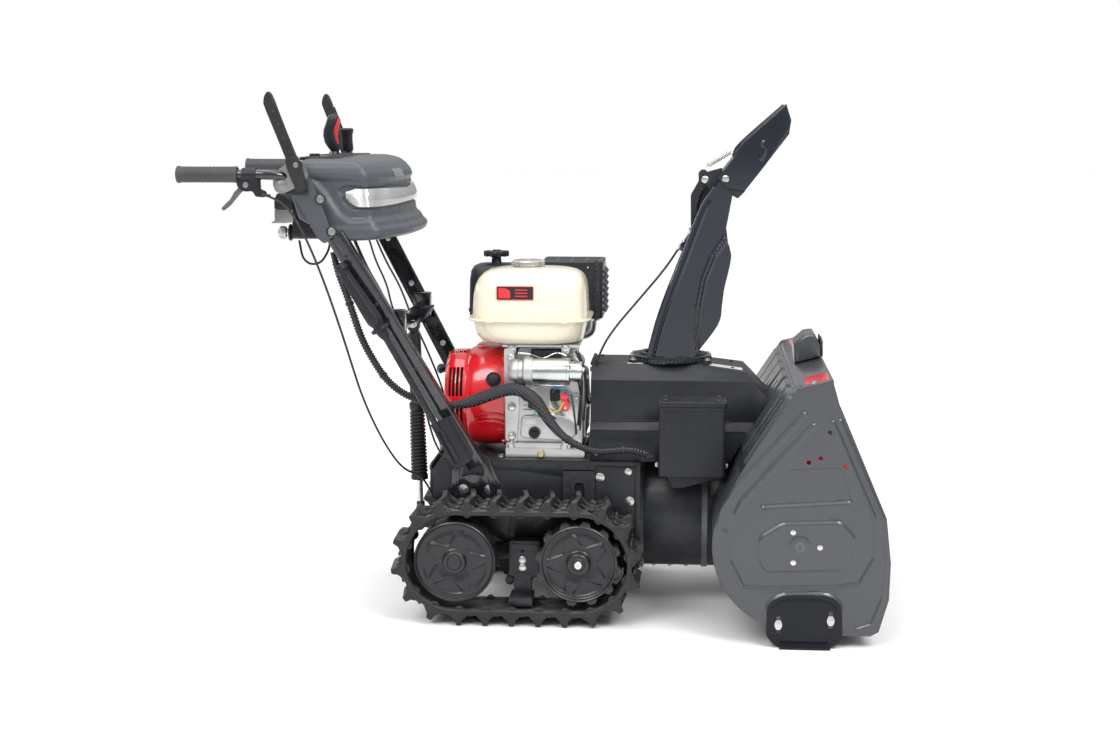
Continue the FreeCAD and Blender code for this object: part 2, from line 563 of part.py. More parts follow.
def make_chute():
    ring = tube((CHUTE_X, 0, COVER_TOP + 2), (CHUTE_X, 0, COVER_TOP + 15), 92, NECK_R - 4)
    base = COVER_TOP + 15

    def walls(inset, front):
        path = [(246 + inset, base - (1 if inset else 0)), *chute_back(inset)]
        if front:
            return path + [(440, 985), (421, 878), (426, 840), (433, 810), (418, 737), (414, 703),
                           (405, 657), (350, base)]
        return path + [(470, 1010), (436, 878), (441, 840), (448, 810), (414, 737), (411, 703),
                       (402, 657), (347, base - 1)]

    outer = side_prism(walls(0, True), -CHUTE_HALF, CHUTE_HALF)
    inner_half = CHUTE_HALF - SHEET
    inner = side_prism(walls(SHEET, False), -inner_half, inner_half)
    shell = outer.cut(inner)
    middle = shell.common(block(200, 500, -inner_half, inner_half, base, 1100))
    back, front = sorted(middle.Solids, key=lambda solid: solid.CenterOfMass.x)
    px, pz = DEFLECTOR_PIVOT
    ax, az = ARM_PIVOT
    lug = side_prism([(ax - 8, az - 12), (ax - 8, az + 8), (ax + 6, az + 6), (395, 971), (352, 891),
                      (349, 895)], -16, -12)
    bracket = join(lug, rod((ax, -34, az), (ax, -16, az), 4))
    cable_stop = join(block(318, 330, -50, -30, 826, 838), block(322, 332, -44, -36, 820, 832))
    back = join(back, bracket, cable_stop)
    cheek = shell.common(block(200, 500, inner_half, CHUTE_HALF, base, 1100))
    hinge_pin = rod((px + 14, 60, pz + 2), (px + 14, CHUTE_HALF + 6, pz + 2), 4)
    cheek = join(cheek, hinge_pin.cut(block(380, 440, 0, inner_half, 900, 1100)))
    keep("chute", ring, back, front, cheek, mirrored(cheek))

    wide = CHUTE_HALF + 4.5
    pin_x, pin_z = px + 14, pz + 2
    outer = side_prism([(401, 990), (436, 1035), (454, 1066), (551, 1153), (562, 1119), (558, 1088),
                        (506, 1019), (462, 962), (420, 968)], -wide, wide)
    inner = side_prism([(396, 978), (399, 984), (438.5, 1032.5), (456.5, 1063), (554, 1150), (640, 1119),
                        (640, 960), (420, 900)], -wide + SHEET, wide - SHEET)
    hood = outer.cut(inner)
    hood = hood.cut(rod((pin_x, -100, pin_z), (pin_x, 100, pin_z), 4 + RUN))
    keep("deflector", hood)

    arm = side_prism([(ax - 12, az + 22), (ax + 2, az + 22), (ax + 12, az), (ax - 6, az - 14), (ax - 26, az - 24),
                      (340, 882), (340, 868), (332, 868), (332, 886), (ax - 42, az - 26), (ax - 22, az - 6)],
                     -30, -24)
    keep("deflector_arm", arm.cut(rod((ax, -60, az), (ax, 0, az), 4 + RUN)))
    keep("deflector_spring", rod((ax + 4, -27, az + 30), (430, -27, 1049), 6))


# ---------------------------------------------------------------- handles and controls
def make_handles():
    beam = bar_between(BEAM_LOW, BEAM_TOP, BEAM_WIDTH, BEAM_DEPTH, 8, 10)
    channel = bar_between(BEAM_LOW, BEAM_TOP, BEAM_WIDTH - 2 * SHEET, BEAM_DEPTH, 40, 20)
    channel.translate(vec(0, -SHEET, 0))
    foot = block(-190, -92, FRAME_HALF, FRAME_HALF + 5, 262, 349)
    web = block(-166, -118, FRAME_HALF + 5, 163, 318, 330)
    beam = beam.cut(channel).cut(block(-300, 0, 0, FRAME_HALF, 0, 500))
    beam = beam.cut(block(-520, -300, 200, 300, 856, 920))
    beam = join(beam, foot, web)

    tie = block(-318, -300, -209, 209, 654, 672)
    ears = [block(-322, -296, y, y + 5, 628, 660) for y in (-16, 11)]
    pin = rod((STRUT_TOP[0], -16, STRUT_TOP[1]), (STRUT_TOP[0], 16, STRUT_TOP[1]), 5)
    keep("handle_beams", join(beam, mirrored(beam), tie, pin, *ears))

    plate_path = [(-575, 1016), (-522, 1036), (-490, 1036), (-455, 1000), (-408, 880), (-428, 846),
                  (-452, 858), (-520, 985), (-575, 988)]
    side = side_prism(plate_path, 274, 289)
    px, pz = LEVER_PIVOT
    side = join(side, rod((px, 289, pz), (px, 306, pz), 5))
    keep("handle_brackets", side, mirrored(side))

    bar = rod((GRIP_END + 2, HANDLE_Y, HANDLE_Z), (-575, HANDLE_Y, HANDLE_Z), TUBE_R)
    bar = join(bar, block(-585, -540, 290, 296, HANDLE_Z - 10, HANDLE_Z + 10))
    tx, tz = TRIGGER_PIVOT
    cheeks = [block(-634, -584, y, y + 4, 972, HANDLE_Z) for y in (291, 305)]
    clamp = join(bar, *cheeks, rod((tx, 291, tz), (tx, 309, tz), 3))
    grip = tube((GRIP_END, HANDLE_Y, HANDLE_Z), (-640, HANDLE_Y, HANDLE_Z), GRIP_R, TUBE_R)
    grip = join(grip, rod((GRIP_END, HANDLE_Y, HANDLE_Z), (GRIP_END + 2, HANDLE_Y, HANDLE_Z), GRIP_R))
    keep("handle_bars", clamp, mirrored(clamp))
    keep("grips", grip, mirrored(grip))

    blade = side_prism([(px - 10, pz - 4), (px + 10, pz - 4), (px + 30, pz - 36), (px + 24, pz - 43),
                        (px + 14, pz - 40), (px - 2, pz - 12)], 296, 304)
    upper = side_prism([(px - 10, pz - 4), (px + 10, pz - 4), (px + 8, pz + 14), (-553, 1164), (-558, 1178),
                        (-571, 1182), (-577, 1172), (-575, 1160)], 292, 308)
    hub = rod((px, 292, pz), (px, 308, pz), 12)
    lever = join(blade, upper, hub).cut(rod((px, 280, pz), (px, 320, pz), 5 + RUN))
    keep("clutch_lever_left", lever)
    keep("clutch_lever_right", mirrored(lever))

    finger = side_prism([(tx + 2, tz + 8), (tx - 8, tz + 4), (tx - 45, tz - 40), (tx - 56, tz - 50),
                         (tx - 52, tz - 57), (tx - 38, tz - 48), (tx - 2, tz - 12), (tx + 30, tz - 14),
                         (tx + 34, tz - 4)], 296.5, 303.5)
    finger = finger.cut(rod((tx, 280, tz), (tx, 320, tz), 3 + RUN))
    keep("steering_trigger_left", finger)
    keep("steering_trigger_right", mirrored(finger))


def make_console():
    def body(inset):
        side = [(-540 + inset, 1000), (-525 + inset, 1033 - inset), (-330, 1033 - inset),
                (-306 - inset, 1000), (-303 - inset, 953), (-285 - inset, 900), (-278 - inset, 871),
                (-285, 860 - 20 * (inset > 0)), (-430, 864 - 20 * (inset > 0)), (-518 + inset, 905 - inset),
                (-518 + inset, 945), (-540 + inset, 950)]
        y = 265.0 - inset
        plan = [(-560, -y), (-335 - inset, -y), ((-278 - inset, 0), (-335 - inset, y)), (-560, y)]
        return side_prism(side, -y, y).common(plan_prism(plan, 800, 1100))

    shell = body(0).cut(body(SHEET))
    shell = shell.cut(block(-534, -458, -9, 9, 1000, 1050))
    shell = shell.cut(rod((STICK_X, STICK_Y, 1020), (STICK_X, STICK_Y, 1050), 16))
    x, z = SHIFT_PIVOT
    shift_ears = [block(x - 10, x + 10, s - 2, s + 2, z - 10, 1030) for s in (-14, 14)]
    stick_ears = [block(STICK_X + s - 2, STICK_X + s + 2, STICK_Y - 8, STICK_Y + 8, STICK_Z - 8, 1030)
                  for s in (-18, 18)]
    shell = join(shell, *shift_ears, *stick_ears, rod((x, -14, z), (x, 14, z), 4))
    for s in (-1, 1):
        hole = rod((STICK_X + 10 * s, STICK_Y, STICK_Z), (STICK_X + 30 * s, STICK_Y, STICK_Z), 3 + RUN)
        shell = shell.cut(hole)
    lens_zone = block(-420, -270, -262, 262, 932, 968)
    lens_outer = body(0).cut(body(1.5)).common(lens_zone)
    keep("console", shell.cut(lens_outer))
    keep("console_lens", lens_outer)

    tray = block(-582, -541, -200, 200, 894, 943).cut(block(-579, -544, -197, 197, 897, 950))
    hanger = block(-562, -546, -160, -142, 880, 894)
    barrel = rod((-558, -150, 868), (-478, -150, 868), 13)
    keep("tool_tray", join(tray, hanger, barrel))
    stem = rod((-562, -150, 868), (-558.5, -150, 868), 5)
    keep("ignition_key", join(block(-584, -562, -160, -140, 866, 870), stem))

    stem = rod((x - 1, 0, z + 4), (x - 3, 0, 1075), 5)
    hub = rod((x, -9, z), (x, 9, z), 10)
    grip = soften(block(x - 15, x + 24, -15, 15, 1064, 1134), 9, (0, 0, 1))
    lever = join(stem, hub, grip).cut(rod((x, -20, z), (x, 20, z), 4 + RUN))
    keep("shift_lever", lever)

    ring = block(STICK_X - 13, STICK_X + 13, STICK_Y - 13, STICK_Y + 13, STICK_Z - 5, STICK_Z + 5)
    ring = ring.cut(block(STICK_X - 8, STICK_X + 8, STICK_Y - 9, STICK_Y + 9, STICK_Z - 9, STICK_Z + 9))
    pins = [rod((STICK_X + a, STICK_Y, STICK_Z), (STICK_X + b, STICK_Y, STICK_Z), 3)
            for a, b in ((-19, -12), (12, 19))]
    cross = rod((STICK_X, STICK_Y - 9, STICK_Z), (STICK_X, STICK_Y + 9, STICK_Z), 3)
    keep("joystick_gimbal", join(ring, cross, *pins))
    hub = rod((STICK_X, STICK_Y - 6, STICK_Z), (STICK_X, STICK_Y + 6, STICK_Z), 6)
    stem = rod((STICK_X, STICK_Y, STICK_Z + 4), (STICK_X, STICK_Y, 1060), 4)
    boot = Part.makeCone(15, 8, 14, vec(STICK_X, STICK_Y, 1042), vec(0, 0, 1))
    knob = soften(block(STICK_X - 14, STICK_X + 14, STICK_Y - 14, STICK_Y + 14, 1056, 1099), 8, (0, 0, 1))
    stick = join(hub, stem, boot, knob)
    keep("joystick", stick.cut(rod((STICK_X, 0, STICK_Z), (STICK_X, 100, STICK_Z), 3 + RUN)))


def make_tool():
    """Clean-out tool, clipped to the outside of the right beam."""
    top, low, end = (-422, -283, 805), (-338, -270, 668), (-214, -227, 431)
    neck = (-334, -269.5, 661)
    grip = rod(top, low, 17)
    collar = rod(low, neck, 22)
    shaft = rod(neck, end, 7)
    paddle = side_prism([(-231, 441), (-188, 465), (-139, 381), (-182, 351)], -230, -224)
    keep("clean_out_tool", join(grip, collar, shaft, paddle))


def make_fasteners():
    """Bolt heads that stay with the chassis, as one group."""
    bolts = []
    for side in (-1, 1):
        face = side * HOUSING_HALF
        for x, z in ((566, 254), (623, 222), (567, 188)):
            bolts.append(rod((x, face, z), (x, face + side * 7, z), 7))
        for x, z in ((538, 51), (649, 62)):
            bolts.append(rod((x, face + side * 5, z), (x, face + side * 12, z), 8))
        for x, z in ((-460, 950), (-436, 880)):
            bolts.append(rod((x, side * 289, z), (x, side * 295, z), 7))
        for x, z in ((-170, 285), (-110, 285), (142, 316), (210, 262)):
            start = FRAME_HALF + (5 if x < 0 else 0)
            bolts.append(rod((x, side * start, z), (x, side * (start + 7), z), 7))
    for x in (290, 408):
        bolts.append(rod((x, -228, 506), (x, -228, 510), 5))
    keep("fasteners", *bolts)


def make_cables():
    harness = [(-448, -222, 830), (-437, -226, 786), (-419, -228, 740), (-403, -226, 688),
               (-387, -220, 635), (-363, -212, 586), (-335, -202, 539), (-297, -183, 504),
               (-251, -170, 487), (-203, -163, 478), (-157, -160, 484), (-105, -164, 506),
               (-49, -172, 524), (-3, -186, 502), (25, -194, 458), (54, -200, 423), (95, -204, 397),
               (140, -204, 384), (185, -203, 390), (227, -201, 390), (263, -197, 374)]
    right = [(-580, -322, 962), (-547, -322, 952), (-518, -320, 926), (-493, -320, 881),
             (-470, -320, 829), (-446, -322, 767), (-425, -324, 706), (-406, -326, 648),
             (-389, -326, 591), (-371, -324, 531), (-349, -318, 473), (-323, -306, 415),
             (-299, -280, 368), (-286, -236, 342), (-273, -192, 326), (-259, -158, 306),
             (-243, -152.6, 272)]
    left = [(x - 8 * (i % 2), -y + 2, z) for i, (x, y, z) in enumerate(right)]
    cables = [cable("wiring_harness", harness, 6.5), cable("steering_cable_right", right, 2.5),
              cable("steering_cable_left", left, 2.5)]
    for i, (x, y) in enumerate(((-440, -140), (-430, -100), (-436, -60), (-430, 150))):
        route = [(x, y, 862), (x + 28, y * 0.98, 790), (x + 68, y * 0.96 + 6, 720),
                 (x + 96, y * 0.9, 650), (x + 138, y * 0.84 - 4, 565), (x + 172, y * 0.8, 480),
                 (x + 188, y * 0.8 + 2, 415), (x + 202, y * 0.8, 374), (x + 216, y * 0.8 - 2, 353)]
        cables.append(cable("clutch_cable_%d" % i, route, 2.5))
    keep("cables", *cables)
    chute_route = [(128, -82, 566), (142, -74, 606), (172, -62, 650), (206, -52, 690), (240, -46, 730),
                   (272, -42, 768), (296, -40, 800), (312, -40, 826)]
    keep("deflector_cable", cable("deflector_cable", chute_route, 2.5))


def main():
    make_frame()
    make_track()
    make_wheels()
    make_track_frame()
    make_strut()
    make_auger_housing()
    make_augers()
    make_impeller()
    make_belt()
    make_belt_cover()
    make_engine()
    make_chute()
    make_handles()
    make_console()
    make_tool()
    make_fasteners()
    make_cables()
    os.makedirs("parts", exist_ok=True)
    for name, shape in nodes.items():
        shape.exportStep("parts/" + name + ".step")
    print(len(nodes), "nodes")


main()
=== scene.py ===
"""Looks of the tracked two-stage snow blower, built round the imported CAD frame.

Shapes are written in millimetres in the row frame and turned into metres by MM.
"""

import json
import math
import random

import bmesh
import bpy
import numpy as np
from mathutils import Matrix, Vector
from mathutils.geometry import delaunay_2d_cdt


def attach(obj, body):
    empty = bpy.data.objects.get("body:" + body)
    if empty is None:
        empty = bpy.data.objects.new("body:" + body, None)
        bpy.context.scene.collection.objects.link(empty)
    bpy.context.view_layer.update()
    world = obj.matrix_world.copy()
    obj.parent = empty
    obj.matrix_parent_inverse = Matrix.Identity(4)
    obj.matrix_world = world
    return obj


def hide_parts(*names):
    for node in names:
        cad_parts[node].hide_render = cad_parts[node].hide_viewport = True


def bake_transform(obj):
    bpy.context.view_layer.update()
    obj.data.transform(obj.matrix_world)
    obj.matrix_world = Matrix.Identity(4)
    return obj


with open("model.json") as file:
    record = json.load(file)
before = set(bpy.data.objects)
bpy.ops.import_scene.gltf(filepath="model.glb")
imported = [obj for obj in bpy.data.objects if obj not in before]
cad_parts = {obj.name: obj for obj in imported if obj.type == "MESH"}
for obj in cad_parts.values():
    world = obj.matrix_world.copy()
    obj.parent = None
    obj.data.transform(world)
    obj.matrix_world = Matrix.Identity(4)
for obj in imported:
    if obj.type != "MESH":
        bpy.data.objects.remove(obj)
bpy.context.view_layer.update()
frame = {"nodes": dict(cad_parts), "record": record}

MM = 0.001
AHEAD, BACK, LEFT, RIGHT, UP, DOWN = (1, 0, 0), (-1, 0, 0), (0, 1, 0), (0, -1, 0), (0, 0, 1), (0, 0, -1)

# Places that several pieces share, in millimetres
AUGER = (581.0, 221.0)
HOUSING_HALF = 388.0
HOUSING_R = 185.0
CHUTE_X = 297.0
CRANK_Z = 472.0
DRIVE_X, IDLER_X, AXLE_Z = 101.0, -176.0, 144.0
BAR_Y = -300
CLUTCH_X, CLUTCH_Z = -508, 1024
TRIGGER_X, TRIGGER_Z = -619, 982
STICK_X, STICK_Y = -466, 60
KEY = (-150, 868)
STRUT_TOP, STRUT_LOW = (-305, 0, 640), (-293, 0, 185)


# ---------------------------------------------------------------- camera and light
def make_camera():
    """Camera a little above and in front of the machine's right side."""
    data = bpy.data.cameras.new("camera")
    data.sensor_width = 36.0
    data.lens = 56.77
    data.clip_end = 100.0
    camera = bpy.data.objects.new("camera", data)
    camera.location = (0.351, -4.080, 1.144)
    camera.rotation_euler = (math.radians(90 - 8.43), 0.0, math.radians(4.371))
    bpy.context.scene.collection.objects.link(camera)
    bpy.context.scene.camera = camera


def area_light(name, place, target, size, power):
    """Rectangular light that looks at a target."""
    data = bpy.data.lights.new(name, "AREA")
    data.shape = "RECTANGLE"
    data.size, data.size_y = size
    data.energy = power
    light = bpy.data.objects.new(name, data)
    light.location = place
    look = Vector(target) - Vector(place)
    light.rotation_euler = look.to_track_quat("-Z", "Y").to_euler()
    bpy.context.scene.collection.objects.link(light)


def make_studio():
    """White floor and backdrop, a soft sun and three area lights."""
    bpy.context.scene.view_settings.view_transform = "Standard"
    world = bpy.data.worlds.new("studio")
    world.use_nodes = True
    tree = world.node_tree
    background = tree.nodes["Background"]
    place = tree.nodes.new("ShaderNodeTexCoord")
    split = tree.nodes.new("ShaderNodeSeparateXYZ")
    tree.links.new(place.outputs["Generated"], split.inputs[0])
    rise = tree.nodes.new("ShaderNodeMapRange")
    for socket, value in (("From Min", 0.0), ("From Max", 0.75), ("To Min", 0.26), ("To Max", 1.0)):
        rise.inputs[socket].default_value = value
    tree.links.new(split.outputs["Z"], rise.inputs["Value"])
    direct = tree.nodes.new("ShaderNodeLightPath")
    level = tree.nodes.new("ShaderNodeMix")
    tree.links.new(direct.outputs["Is Camera Ray"], level.inputs["Factor"])
    tree.links.new(rise.outputs["Result"], level.inputs["A"])
    level.inputs["B"].default_value = 1.0
    tree.links.new(level.outputs["Result"], background.inputs["Strength"])
    background.inputs["Color"].default_value = (1.0, 1.0, 1.0, 1.0)
    bpy.context.scene.world = world
    sun_data = bpy.data.lights.new("sky", "SUN")
    sun_data.energy = 1.25
    sun_data.angle = math.radians(28)
    sun = bpy.data.objects.new("sky", sun_data)
    sun.rotation_euler = Vector((0.45, 0.85, -0.9)).to_track_quat("-Z", "Y").to_euler()
    bpy.context.scene.collection.objects.link(sun)
    area_light("key", (1.8, -2.2, 2.8), (0.2, 0, 0.5), (1.0, 1.6), 60)
    area_light("top", (-0.2, -0.3, 3.2), (0, 0, 0.5), (2.6, 1.2), 30)
    area_light("rim", (-2.6, 1.6, 2.0), (0, 0, 0.6), (1.2, 1.6), 25)
    mesh = bpy.data.meshes.new("floor")
    reach = 30.0
    mesh.from_pydata([(-reach, -reach, 0), (reach, -reach, 0), (reach, reach, 0), (-reach, reach, 0)],
                     [], [(0, 1, 2, 3)])
    floor = bpy.data.objects.new("floor", mesh)
    floor.location.z = -0.0005
    bpy.context.scene.collection.objects.link(floor)
    paint = bpy.data.materials.new("floor_white")
    paint.use_nodes = True
    shader = paint.node_tree.nodes["Principled BSDF"]
    shader.inputs["Base Color"].default_value = (0.90, 0.90, 0.90, 1)
    shader.inputs["Roughness"].default_value = 0.9
    mesh.materials.append(paint)


# ---------------------------------------------------------------- materials
class Nodes:
    """Short hand for one material's node tree."""

    def __init__(self, name):
        self.material = bpy.data.materials.new(name)
        self.material.use_nodes = True
        self.tree = self.material.node_tree
        self.shader = self.tree.nodes["Principled BSDF"]
        self.place = self.add("ShaderNodeTexCoord").outputs["Object"]

    def add(self, kind, **settings):
        """New node with its settings."""
        node = self.tree.nodes.new(kind)
        for key, value in settings.items():
            setattr(node, key, value)
        return node

    def link(self, source, target):
        """Link two sockets."""
        self.tree.links.new(source, target)

    def noise(self, scale, detail=3.0, rough=0.5, stretch=None):
        """Noise, stretched along the axes where wanted."""
        node = self.add("ShaderNodeTexNoise")
        node.inputs["Scale"].default_value = scale
        node.inputs["Detail"].default_value = detail
        node.inputs["Roughness"].default_value = rough
        place = self.place
        if stretch:
            mapping = self.add("ShaderNodeMapping")
            mapping.inputs["Scale"].default_value = stretch
            self.link(place, mapping.inputs["Vector"])
            place = mapping.outputs["Vector"]
        self.link(place, node.inputs["Vector"])
        return node.outputs["Fac"]

    def spread(self, value, low, high, out_low=0.0, out_high=1.0):
        """Map a value from one range to another."""
        node = self.add("ShaderNodeMapRange")
        for key, number in (("From Min", low), ("From Max", high), ("To Min", out_low), ("To Max", out_high)):
            node.inputs[key].default_value = number
        self.link(value, node.inputs["Value"])
        return node.outputs["Result"]

    def blend(self, amount, first, second):
        """Mix two colours."""
        node = self.add("ShaderNodeMix", data_type="RGBA")
        self.link(amount, node.inputs[0])
        for socket, colour in ((node.inputs[6], first), (node.inputs[7], second)):
            if isinstance(colour, tuple):
                socket.default_value = (*colour, 1.0)
            else:
                self.link(colour, socket)
        return node.outputs[2]

    def times(self, first, second):
        """Product of two values."""
        node = self.add("ShaderNodeMath", operation="MULTIPLY")
        for socket, value in ((node.inputs[0], first), (node.inputs[1], second)):
            if isinstance(value, (int, float)):
                socket.default_value = value
            else:
                self.link(value, socket)
        return node.outputs[0]

    def edges(self, low=0.52, high=0.60):
        """Mask of convex edges: worn paint, and where a painted edge highlight goes."""
        geometry = self.add("ShaderNodeNewGeometry")
        return self.spread(geometry.outputs["Pointiness"], low, high)

    def upward(self):
        """Mask of surfaces that face up, where dust settles."""
        geometry = self.add("ShaderNodeNewGeometry")
        split = self.add("ShaderNodeSeparateXYZ")
        self.link(geometry.outputs["Normal"], split.inputs[0])
        return self.spread(split.outputs["Z"], 0.3, 1.0)

    def bump(self, height, strength, distance=0.001, normal=None):
        """Normal from a height."""
        node = self.add("ShaderNodeBump")
        node.inputs["Strength"].default_value = strength
        node.inputs["Distance"].default_value = distance
        self.link(height, node.inputs["Height"])
        if normal is not None:
            self.link(normal, node.inputs["Normal"])
        return node.outputs["Normal"]

    def set(self, **values):
        """Give the shader's sockets constants or links."""
        for key, value in values.items():
            socket = self.shader.inputs[key.replace("_", " ")]
            if hasattr(value, "is_linked"):
                self.link(value, socket)
            elif isinstance(value, tuple):
                socket.default_value = (*value, 1.0)
            else:
                socket.default_value = value


def lighter(colour, factor):
    """Colour multiplied by a factor, up to white."""
    return tuple(min(1.0, c * factor) for c in colour)


def surface(name, colour, rough, metal=0.0, coat=0.0, coat_rough=0.08, grain=900.0, grain_depth=0.12,
            wave=0.0, mottle=0.12, edge_wear_and_highlight=0.25, dust=0.0, specular=0.5):
    """Painted, moulded or cast surface with mottling, lighter convex edges (partly worn paint, partly a
    painted edge highlight), settled dust and a fine grain.
    """
    n = Nodes(name)
    patches = n.spread(n.noise(9.0, 5.0, 0.6), 0.3, 0.7)
    base = n.blend(patches, lighter(colour, 1 - mottle), lighter(colour, 1 + mottle))
    # Convex edges up to three times lighter: partly worn paint, partly a painted highlight along the edges.
    if edge_wear_and_highlight:
        worn_and_highlit_edges = n.times(n.edges(), n.times(n.spread(n.noise(60.0, 4.0), 0.35, 0.65), edge_wear_and_highlight))
        base = n.blend(worn_and_highlit_edges, base, lighter(tuple(c + 0.02 for c in colour), 3.0))
    if dust:
        settled = n.times(n.times(n.upward(), n.spread(n.noise(25.0, 6.0, 0.65), 0.35, 0.7)), dust)
        base = n.blend(settled, base, (0.42, 0.40, 0.37))
    blotch = n.spread(n.noise(30.0, 6.0, 0.6), 0.3, 0.7, rough * 0.86, min(1.0, rough * 1.16))
    fine = n.bump(n.noise(grain, 2.0), grain_depth, 0.0004)
    if wave:
        fine = n.bump(n.noise(45.0, 2.0), wave, 0.0012, fine)
    n.set(Base_Color=base, Roughness=blotch, Metallic=metal, Normal=fine, Coat_Weight=coat,
          Coat_Roughness=coat_rough, Specular_IOR_Level=specular)
    return n.material


def brushed(name, colour, rough, stretch):
    """Bright metal with fine lines along one direction."""
    n = Nodes(name)
    lines = n.noise(300.0, 4.0, 0.6, stretch)
    patches = n.spread(n.noise(20.0, 4.0), 0.3, 0.7)
    n.set(Base_Color=n.blend(patches, lighter(colour, 0.8), lighter(colour, 1.1)), Metallic=1.0,
          Roughness=n.spread(lines, 0.3, 0.7, rough * 0.75, rough * 1.3), Normal=n.bump(lines, 0.15, 0.0003))
    return n.material


def braided(name, colour):
    """Woven sleeve: crossing strands, with painted shade in the hollows of the weave and a painted sheen on
    its crests.
    """
    n = Nodes(name)
    waves = []
    for stretch in ((1.0, 1.0, 1.0), (1.0, -1.0, -1.0)):
        mapping = n.add("ShaderNodeMapping")
        mapping.inputs["Scale"].default_value = stretch
        n.link(n.place, mapping.inputs["Vector"])
        wave = n.add("ShaderNodeTexWave", bands_direction="DIAGONAL")
        wave.inputs["Scale"].default_value = 75.0
        n.link(mapping.outputs["Vector"], wave.inputs["Vector"])
        waves.append(wave.outputs["Fac"])
    weave = n.times(waves[0], waves[1])
    # Colour follows the weave's relief: darker hollows are painted shade, lighter crests a painted sheen.
    n.set(Base_Color=n.blend(n.spread(weave, 0.1, 0.6), lighter(colour, 0.35), lighter(colour, 5.0)),
          Roughness=0.5, Normal=n.bump(weave, 1.0, 0.0015))
    return n.material


